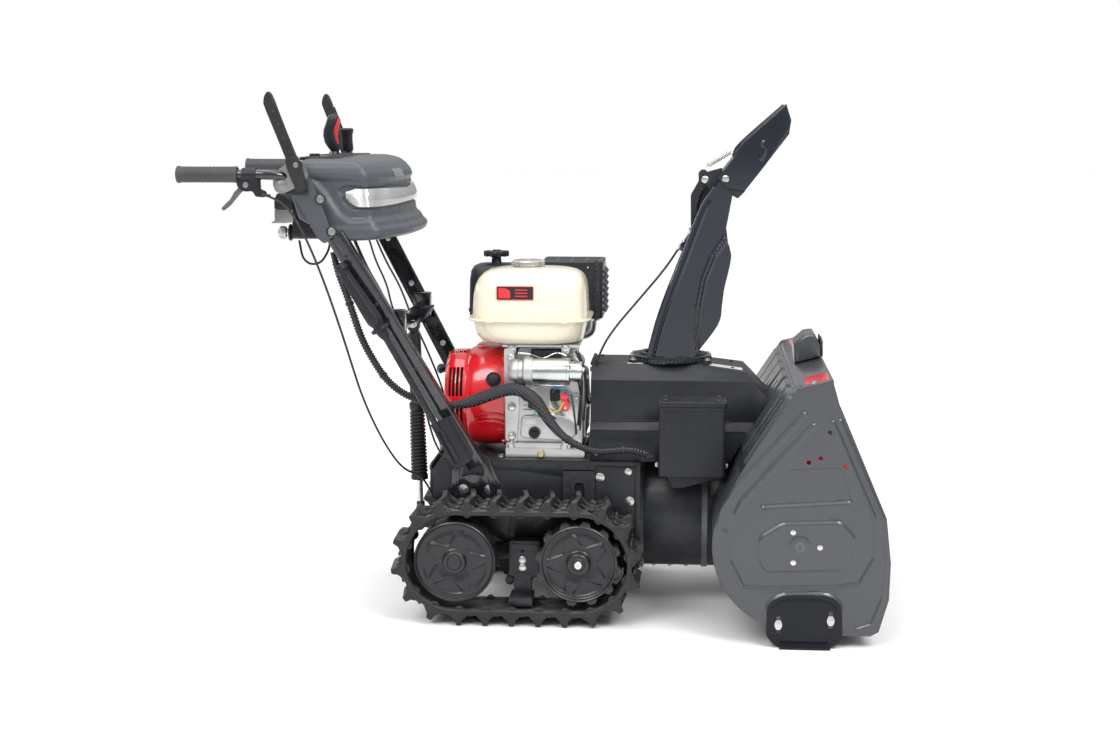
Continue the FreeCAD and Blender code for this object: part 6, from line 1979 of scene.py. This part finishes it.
def make_clutch_levers():
    """Clutch levers over the grips and steering triggers under them."""
    outline = [(-484, 972), (-500, 964), (-510, 972), (-520, 1006), (-530, 1036), (-548, 1082),
               (-569, 1134), (-577, 1156), (-575, 1170), (-570, 1179), (-565, 1181.5), (-559, 1176),
               (-552, 1160), (-545, 1140), (-527, 1092), (-508, 1044), (-497, 1018)]
    for name, side in (("clutch_lever_right", -1), ("clutch_lever_left", 1)):
        lever = Piece(name + "_blade", name, "moulded_black", "lever_black")
        lever.prism(rounded(outline, 5, 4), -307, -294, bevel=3.4, segments=3)
        block = rounded([(-486, 970), (-508, 966), (-528, 1016), (-532, 1036), (-506, 1044), (-494, 1010)], 4)
        lever.prism(block, -309.5, -293, bevel=1.8)
        for i in range(4):
            x, z = -556 + i * 11.2, 1138 - i * 28.5
            lever.lathe([(0, 0), (3.4, 0), (3.4, 0.7), (2.6, 1.2), (0, 1.2)], (x, -306.8, z), RIGHT, 16)
        lever.prism(rounded([(-552, 1150), (-546, 1148), (-516, 1068), (-522, 1066)], 2), -308, -305,
                    bevel=0.8)
        lever.lathe([(0, 0), (11, 0), (12, 2), (12, 14), (11, 16), (0, 16)], (CLUTCH_X, -291.6, CLUTCH_Z),
                    RIGHT, 32)
        lever.bolt((CLUTCH_X, -309, CLUTCH_Z), RIGHT, 4.4, 3.0, finish="bracket_zinc")
        if side > 0:
            lever.flipped()
        lever.done(name, angle=40)
    for name, side in (("steering_trigger_right", -1), ("steering_trigger_left", 1)):
        tx, tz = TRIGGER_X, TRIGGER_Z
        finger = rounded([(tx + 6, tz + 8), (tx - 8, tz + 5), (tx - 22, tz - 12), (tx - 27, tz - 16),
                          (tx - 36, tz - 32), (tx - 42, tz - 37), (tx - 57, tz - 52), (tx - 52, tz - 58),
                          (tx - 36, tz - 46), (tx - 14, tz - 20), (tx - 2, tz - 10), (tx + 28, tz - 13),
                          (tx + 34, tz - 3)], 4)
        trigger = Piece(name + "_finger", name, "moulded_black", "trigger_grey")
        trigger.prism(finger, -304, -296, bevel=2.4, segments=3)
        trigger.rod((tx, -311, tz), (tx, -290, tz), 4.6, 0.8, 20)
        if side > 0:
            trigger.flipped()
        trigger.done(name, angle=40)


def make_sticks():
    """Gear lever knob and joystick with its bellows."""
    shift = Piece("shift_knob", "shift_lever", "moulded_black")
    rings = [(1046, -484, 7, 8), (1048, -484.5, 10, 10), (1054, -487, 13, 12), (1066, -492, 16, 14),
             (1082, -495, 16.5, 15), (1096, -495, 15.5, 15), (1108, -491, 15, 14.5), (1119, -487.5, 15, 13.5),
             (1127, -487, 12.5, 11), (1131, -488, 8, 7), (1132.5, -488, 3, 3)]
    shift.loft([super_ring(x, 0, half_x, half_y, 2.5, z, 40) for z, x, half_x, half_y in rings])
    shift.use("button_red")
    rings = [(1060, -480, 3, 6), (1063, -480, 5, 9), (1076, -483, 6.2, 11), (1092, -484, 6.4, 12),
             (1106, -480, 6.6, 11.5), (1118, -475.5, 5.5, 9.5), (1124, -476, 3, 6)]
    shift.loft([super_ring(x, 0, half_x, half_y, 2.3, z, 32) for z, x, half_x, half_y in rings], bevel=0.6)
    shift.use("bright_steel")
    for x in (-4.5, 4.5):
        shift.rod((-497 + x, 0, 936), (-488 + x, 0, 1052), 3.1, 0.4, 20)
    shift.done("shift_lever", angle=40)

    stick = Piece("joystick_knob", "joystick", "moulded_black")
    rings = [(1046, -467, 10, 10), (1048, -467, 12.5, 12.5), (1052, -467, 13.2, 13.2),
             (1070, -468, 12.6, 12.6), (1084, -469, 13.6, 14), (1090, -469.5, 16, 16),
             (1095, -470, 17, 16.8), (1098, -470, 15.6, 15.4), (1099.2, -470, 10, 10)]
    stick.loft([super_ring(x, STICK_Y, half_x, half_y, 3.0, z, 40) for z, x, half_x, half_y in rings])
    fold = []
    for radius, z in ((12.4, 1046.2), (11.2, 1048.8), (10.2, 1051.4)):
        fold += [(radius - 4, z - 0.8), (radius, z), (radius, z + 0.9), (radius - 4, z + 1.7)]
    stick.lathe([(0, 1045)] + fold + [(6, 1054), (0, 1054)], (STICK_X, STICK_Y, 0), UP, 40)
    stick.rod((STICK_X, STICK_Y, 1041.4), (STICK_X, STICK_Y, 1047), 3.2, 0.4, 20)
    stick.done("joystick", angle=30)


def make_tray():
    """Tool tray behind the console, ignition switch and key."""
    tray = Piece("tray_shell", "chassis", "moulded_black")
    upper = rounded([(-583, 923), (-583, 945), (-576, 958), (-566, 956), (-541, 938), (-541, 923)], 2)
    tray.prism(upper, -201, 201, bevel=1.4)
    for y in (-140, 0, 140):
        tray.prism([(-541, 926), (-500, 926), (-500, 932), (-541, 934)], y - 12, y + 12, bevel=0.8)
    tray.prism(rounded([(-552, 860), (-484, 856), (-470, 900), (-500, 914), (-552, 898)], 4), -164, -136,
               bevel=2.0)
    tray.lathe([(0, 0), (13.4, 0), (14.4, 2), (14.4, 60), (12, 66), (10, 70), (10, 76), (0, 76)],
               (-556, *KEY), AHEAD, 40)
    tray.lathe([(10, -5), (18, -5), (19, -4), (19, -1), (18, 0), (10, 0)], (-556, *KEY), AHEAD, 12,
               closed=True)
    tray.pipe([(-480, -150, 864), (-470, -152, 840), (-486, -158, 806), (-510, -160, 798), (-530, -156, 812),
               (-540, -148, 850)], 2.6, sides=10)
    tray.use("bracket_zinc")
    lower = [(-583, 922), (-583, 898), (-590, 894), (-590, 891.6), (-560, 891.6), (-541, 894), (-541, 922)]
    tray.prism(lower, -200, 200, bevel=0.9)
    tray.use("button_red")
    tray.prism(rounded([(-512, 880), (-494, 876), (-490, 884), (-510, 889)], 3), -165, -150, bevel=1.6)
    tray.done("tool_tray", angle=38)

    key = Piece("ignition_knob", "ignition_key", "moulded_black", "bright_steel")
    key.lathe([(0, 0), (8, 0), (8, 4), (12.6, 6), (13.6, 9), (13.6, 20), (12, 23), (0, 23.5)], (-562, *KEY),
              BACK, 40)
    for i in range(16):
        turn = Matrix.Translation((-562, *KEY)) @ frame_along(BACK) @ turned((0, 0, 0), 22.5 * i, "Z")
        key.box((12.6, -1.5, 9), (14.6, 1.5, 20), 0.6, turn, 1)
    key.done("ignition_key", angle=40)


def make_clean_out_tool():
    """Clean-out paddle clipped along the handle beam."""
    tool = Piece("clean_out_paddle", "clean_out_tool", "moulded_black")
    top, low = Vector((-422, -283, 805)), Vector((-338, -270, 668))
    along = (low - top).normalized()
    profile = [(0, -4), (7, -4), (11, -2), (12.5, 2), (15, 3), (15.8, 6), (15.2, 10), (12, 13), (11.2, 18),
               (12.4, 30), (13.2, 50), (14.6, 80), (16.4, 112), (17.4, 132), (17.6, 142), (15, 150),
               (12.6, 154), (13, 158), (20.5, 160), (21.5, 163), (20.5, 167), (13, 169), (12, 178),
               (9, 186), (7.5, 190)]
    tool.lathe(profile, top, along, 48)
    for i in range(8):
        turn = Matrix.Translation(top) @ frame_along(along) @ turned((0, 0, 0), 45 * i + 12, "Z")
        rib = [(11.6, 20), (13.4, 52), (14.8, 82), (16.6, 114), (17.2, 138)]
        tool.pipe([turn @ Vector((radius, 0, height)) for radius, height in rib], 1.2, sides=8, steps=4)
    end = Vector((-214, -227, 431))
    start = top + along * 186
    tool.rod(start, end, 7.2, 1.0, 28)
    blade = rounded([(-234, 446), (-186, 468), (-137, 382), (-144, 364), (-172, 348), (-184, 352)], 6)
    tool.prism(blade, -230, -224.5, bevel=1.6)
    tool.prism([(-216, 440), (-206, 436), (-166, 366), (-176, 362)], -234, -229, bevel=1.8)
    tool.prism([(-233, 446), (-227, 449), (-178, 357), (-184, 353)], -236, -226, bevel=1.6)
    tool.prism([(-191, 466), (-185, 466), (-138, 384), (-143, 380)], -236, -226, bevel=1.6)
    tool.done("clean_out_tool", angle=38)


def make_strut():
    """Strut between chassis and track frame: cylinder, ribbed boot and rod."""
    lean = (Vector(STRUT_LOW) - Vector(STRUT_TOP)).normalized()
    top = Vector(STRUT_TOP)
    tube = Piece("strut_tube", "strut_cylinder", "frame_black")
    tube.lathe([(0, -6), (9, -6), (11, 0), (11, 14), (15, 18), (15.4, 22), (15.4, 170), (14.6, 176),
                (14.6, 188), (0, 188)], top, lean, 40)
    tube.lathe([(0, -13), (13, -13), (14, -11), (14, 11), (13, 13), (0, 13)], top, LEFT, 32)
    tube.done("strut_cylinder", angle=38)
    boot = Piece("strut_sleeve", "strut_cylinder", "moulded_black")
    profile = [(14.8, 182), (17, 182), (18, 184), (18, 196), (16.4, 199)]
    for i in range(1, 19):
        crest, low = 18.2 + i * 0.12, 195.4 + i * 8.2
        profile += [(crest - 3.4, low), (crest - 0.5, low + 1.6), (crest, low + 2.8), (crest, low + 4.2),
                    (crest - 0.5, low + 5.4), (crest - 3.4, low + 7.0)]
    profile += [(20.4, 358), (20.4, 366), (8, 367), (8, 362)]
    boot.lathe(profile, top, lean, 48)
    boot.done("strut_boot", angle=50)
    rod = Piece("strut_piston", "strut_rod", "bright_steel")
    rod.rod(top + lean * 150, top + lean * 440, 6.9, 0.6, 32)
    rod.use("frame_black")
    rod.lathe([(0, 0), (9, 0), (10, 3), (10, 18), (8, 22), (0, 22)], top + lean * 420, lean, 32)
    rod.lathe([(7.5, -13), (16, -13), (17, -11), (17, 11), (16, 13), (7.5, 13)], STRUT_LOW, LEFT, 40,
              closed=True)
    rod.done("strut_rod", angle=40)


# ---------------------------------------------------------------- frame, covers and boxes
def make_frame_details():
    """Deck flange, gussets, slotted plate, weld seams and the bolts of the frame."""
    piece = Piece("frame_plates", "chassis", "frame_black")
    deck = [(-118, 336), (-104, 352.5), (122, 352.5), (232, 352.5), (232, 344), (128, 342), (128, 332),
            (-112, 332)]
    piece.prism(rounded(deck, 3), -153.5, -150, bevel=1.2)
    gusset = rounded([(-246, 268), (-222, 346), (-100, 346), (-58, 250), (-70, 176), (-198, 244)], 6)
    piece.prism(gusset, -152.4, -150, bevel=1.0)
    front = rounded([(131, 110), (131, 340), (231, 340), (231, 110)], 6)
    piece.prism(front, -152.6, -150, bevel=1.0)
    piece.prism(rounded([(222, 108), (222, 352), (234, 352), (234, 108)], 3), -158, -149, bevel=1.6)
    outline = rounded([(58, 250), (58, 330), (130, 330), (130, 250)], 4)
    hole = rounded([(84, 264), (84, 304), (106, 304), (106, 264)], 10.9, 8)

    def place(u, v, h):
        return Vector((u, -153.4 - h, v))

    pressed_sheet(piece, outline, [hole], lambda points: np.zeros(len(points)), place, -3.0, fine=4.0,
                  coarse=18.0, edge=4.0)
    for x, z in ((142, 316), (210, 262)):
        piece.bolt((x, -152.6, z), RIGHT, 7.6, 5.2)
    for x, z in ((206, 330), (-112, 294), (150, 128)):
        piece.bolt((x, -152.6, z), RIGHT, 6, 4.4)
    for x in (-96, -20, 52, 116):
        piece.lathe([(0, 0), (5, 0), (4.4, 1.6), (2, 2.4), (0, 2.5)], (x, -153.5, 342), RIGHT, 20)
    # Near-black patch behind the slotted plate's hole: painted shade.
    piece.use("painted_hole_shade")
    piece.prism(rounded([(80, 258), (80, 306), (110, 306), (110, 258)], 6), -150.9, -150.2, bevel=0)
    piece.mirror()
    piece.use("frame_black")
    piece.prism(rectangle(-225, 351.4, 118, 354.4), -151, 151, bevel=1.0)
    for x in (-88, 96):
        for y in (-118, 66):
            piece.bolt((x, y, 354.4), UP, 7, 6)
    rear = oblong(-130, 276, 130, 338, 10)
    piece.prism(rear, -251, -246, axis="x", bevel=1.8)
    for y in (-116, 116):
        for z in (288, 326):
            piece.bolt((-251, y, z), BACK, 5.5, 4.2)
    for y in (-60, 0, 60):
        piece.prism(oblong(y - 20, 296, y + 20, 302, 2.8), -252.4, -250, axis="x", bevel=0.8)
    for y in (-100, 0, 100):
        piece.prism([(-236, 262), (-200, 236), (-60, 151), (-60, 147), (-202, 231), (-240, 258)], y - 6,
                    y + 6, bevel=1.2)
    piece.use("bright_steel")
    piece.bolt((-240, 0, 352), UP, 6, 5)
    piece.done("fasteners", angle=38)


def make_belt_cover_details():
    """Crease line, lip, latch, vents and blank labels of the belt cover."""
    piece = Piece("belt_cover_trim", "chassis", "moulded_black")
    for side in (-1, 1):
        crease = [(120, side * 126.6, 443), (250, side * 126.6, 443), (440, side * 126.6, 443)]
        piece.pipe(crease, 1.5, sides=8, steps=1)
        lower = [(120, side * 150.3, 425), (300, side * 150.3, 425), (468, side * 150.3, 425)]
        piece.pipe(lower, 1.2, sides=8, steps=1)
    piece.prism(rectangle(115, 563, 122, 569), -80, 80, bevel=1.4)
    piece.prism(rounded([(352, 560), (376, 557), (382, 566), (356, 572)], 3), -66, -40, bevel=1.8)
    piece.prism(rounded([(352, 560), (376, 557), (382, 566), (356, 572)], 3), 40, 66, bevel=1.8)
    piece.box((340, -126, 470), (352, -118, 478), 2)
    for y in (-60, 60):
        piece.screw((136, y, 566.4), UP, 4.6, 2.6, "frame_black")
        piece.screw((440, y, 556.6), (0.13, 0, 0.99), 4.6, 2.6, "frame_black")
    for x, z in ((132, 370), (240, 370)):
        for side in (-1, 1):
            piece.screw((x, side * 150.4, z), (0, side, 0), 4.4, 2.4)
    piece.use("label_white")
    piece.prism(rectangle(200, -74, 236, -60), 566.6, 567.1, "z", 0)
    slope = Vector((102, 0, -14)).normalized()
    up = Vector(LEFT).cross(slope)
    if up.z < 0:
        up.negate()
    place = Matrix((slope, Vector(LEFT), up)).transposed().to_4x4()
    place = Matrix.Translation((365, 0, 566)) @ place
    piece.prism(rectangle(22, -70, 98, -34), 0.6, 1.1, "z", 0, matrix=place)
    piece.use("label_black")
    piece.prism(rectangle(236, -74, 262, -60), 566.6, 567.0, "z", 0)
    piece.use("button_red")
    piece.lathe([(0, 0), (4, 0), (4, 1), (0, 1.2)], (268, -67, 566.5), UP, 16)
    piece.done(angle=38)


def make_battery_box():
    """Battery box with its lid, rim, foot brackets and screws."""
    piece = Piece("battery_case", "chassis", "moulded_black")
    body = oblong(276, -240, 422, -151, 8)
    piece.prism(body, 338, 498, "z", 2.4)
    lid = oblong(272.5, -243, 425.5, -151, 9)
    piece.prism(lid, 494, 506, "z", 2.6, segments=3)
    piece.prism(oblong(274.5, -241.4, 423.5, -151, 8), 487, 494, "z", 1.0)
    piece.prism([(290, 338), (420, 338), (420, 330), (330, 305), (306, 305)], -202, -156, bevel=1.6)
    for x in (276, 422):
        sign = -1 if x < 300 else 1
        lo, hi = sorted((x, x + sign * 4))
        piece.prism(oblong(lo, 344, hi, 356, 1.2), -176, -160, bevel=0.8)
        piece.bolt((x + sign * 4, -168, 350), (sign, 0, 0), 5.5, 4.6)
    for x in (290, 408):
        piece.lathe([(0, 0), (9, 0), (9, 1.2), (7.6, 2), (0, 2)], (x, -228, 506), UP, 28)
        piece.screw((x, -228, 508), UP, 5.6, 3.2, "frame_black")
        piece.screw((x, -164, 506), UP, 5.6, 3.2, "frame_black")
    piece.done("battery_box", angle=38)


def make_drum():
    """Rolled flange, overlap seam, bolted strip underneath and bolts of the impeller drum."""
    piece = Piece("drum_flanges", "chassis", "frame_black", "drum_black")
    axis = (0, 0, AUGER[1])
    rear = [(139, 231.5), (146, 231.5), (148.5, 233), (149, 235), (148, 237), (143, 238.5), (140.4, 241),
            (139, 241)]
    piece.lathe(rear, axis, AHEAD, 112, closed=True)
    seam = [(139.6, 372), (142, 372.6), (143.4, 374), (143.4, 386), (142, 387.4), (139.6, 388)]
    piece.lathe(seam, axis, AHEAD, 112, closed=True)
    piece.prism(rectangle(238, 84.6, 372, 80.6), -16, 16, bevel=1.2)
    for x in (262, 300, 338):
        for y in (-10, 10):
            piece.bolt((x, y, 80.6), DOWN, 5, 4)
    piece.use("bright_steel")
    for angle in (200, 230, 270, 310, 340):
        c, s = cos_sin(angle)
        piece.bolt((231.5, 128 * c, AUGER[1] + 128 * s), BACK, 6, 4.6)
    piece.done(angle=40)


def make_auger_details():
    """Shear bolts, hubs and gearbox ribs inside the housing."""
    x, z = AUGER
    gear = Piece("gearbox_casting", "chassis", "cast_alloy")
    gear.lathe([(0, -48), (22, -48), (26, -44), (28, -34), (40, -28), (44, -20), (45, 0), (44, 20),
                (40, 28), (28, 34), (26, 44), (22, 48), (0, 48)], (x, 0, z), LEFT, 56)
    gear.lathe([(0, 0), (30, 0), (30, 8), (24, 14), (20, 60), (23, 62), (23, 74), (0, 74)], (x - 38, 0, z),
               BACK, 48)
    for angle in range(0, 360, 60):
        c, s = cos_sin(angle)
        for side in (-1, 1):
            gear.bolt((x + 36 * c, side * 29, z + 36 * s), (0, side, 0), 4.4, 3.6)
    gear.bolt((x, 0, z + 44), UP, 7, 5)
    gear.done("auger_gearbox", angle=40)
    shear = Piece("shear_bolts", "auger", "bright_steel")
    for y in (-300, -110, 110, 300):
        shear.rod((x - 23, y, z), (x + 23, y, z), 3.6, 0.5, 16)
        shear.bolt((x + 18, y, z), AHEAD, 5.6, 4.6)
        shear.bolt((x - 18, y, z), BACK, 5.6, 4.6)
        shear.use("auger_red")
        shear.lathe([(15, -16), (18, -16), (19, -15), (19, 15), (18, 16), (15, 16)], (x, y, z), LEFT, 36,
                    closed=True)
        shear.use("bright_steel")
    shear.done(angle=40)


def main():
    """Make everything, the camera and the cords first."""
    make_camera()
    harness = make_cords()
    make_studio()
    dress_cad()
    make_side_plates()
    make_skid_shoes()
    make_housing_back()
    make_scraper()
    make_lamp()
    make_chute_skin()
    make_chute_base()
    make_deflector_skin()
    make_deflector_spring()
    make_deflector_linkage()
    make_tracks()
    make_wheels()
    make_track_frame_trim()
    make_tank()
    make_fan_cover()
    make_crankcase()
    make_engine_upper()
    make_starter()
    make_wiring()
    make_harness_sleeves(harness)
    make_muffler()
    make_air_cleaner()
    make_beams()
    make_console()
    make_brackets()
    make_bars()
    make_clutch_levers()
    make_sticks()
    make_tray()
    make_clean_out_tool()
    make_strut()
    make_frame_details()
    make_belt_cover_details()
    make_battery_box()
    make_drum()
    make_auger_details()


main()
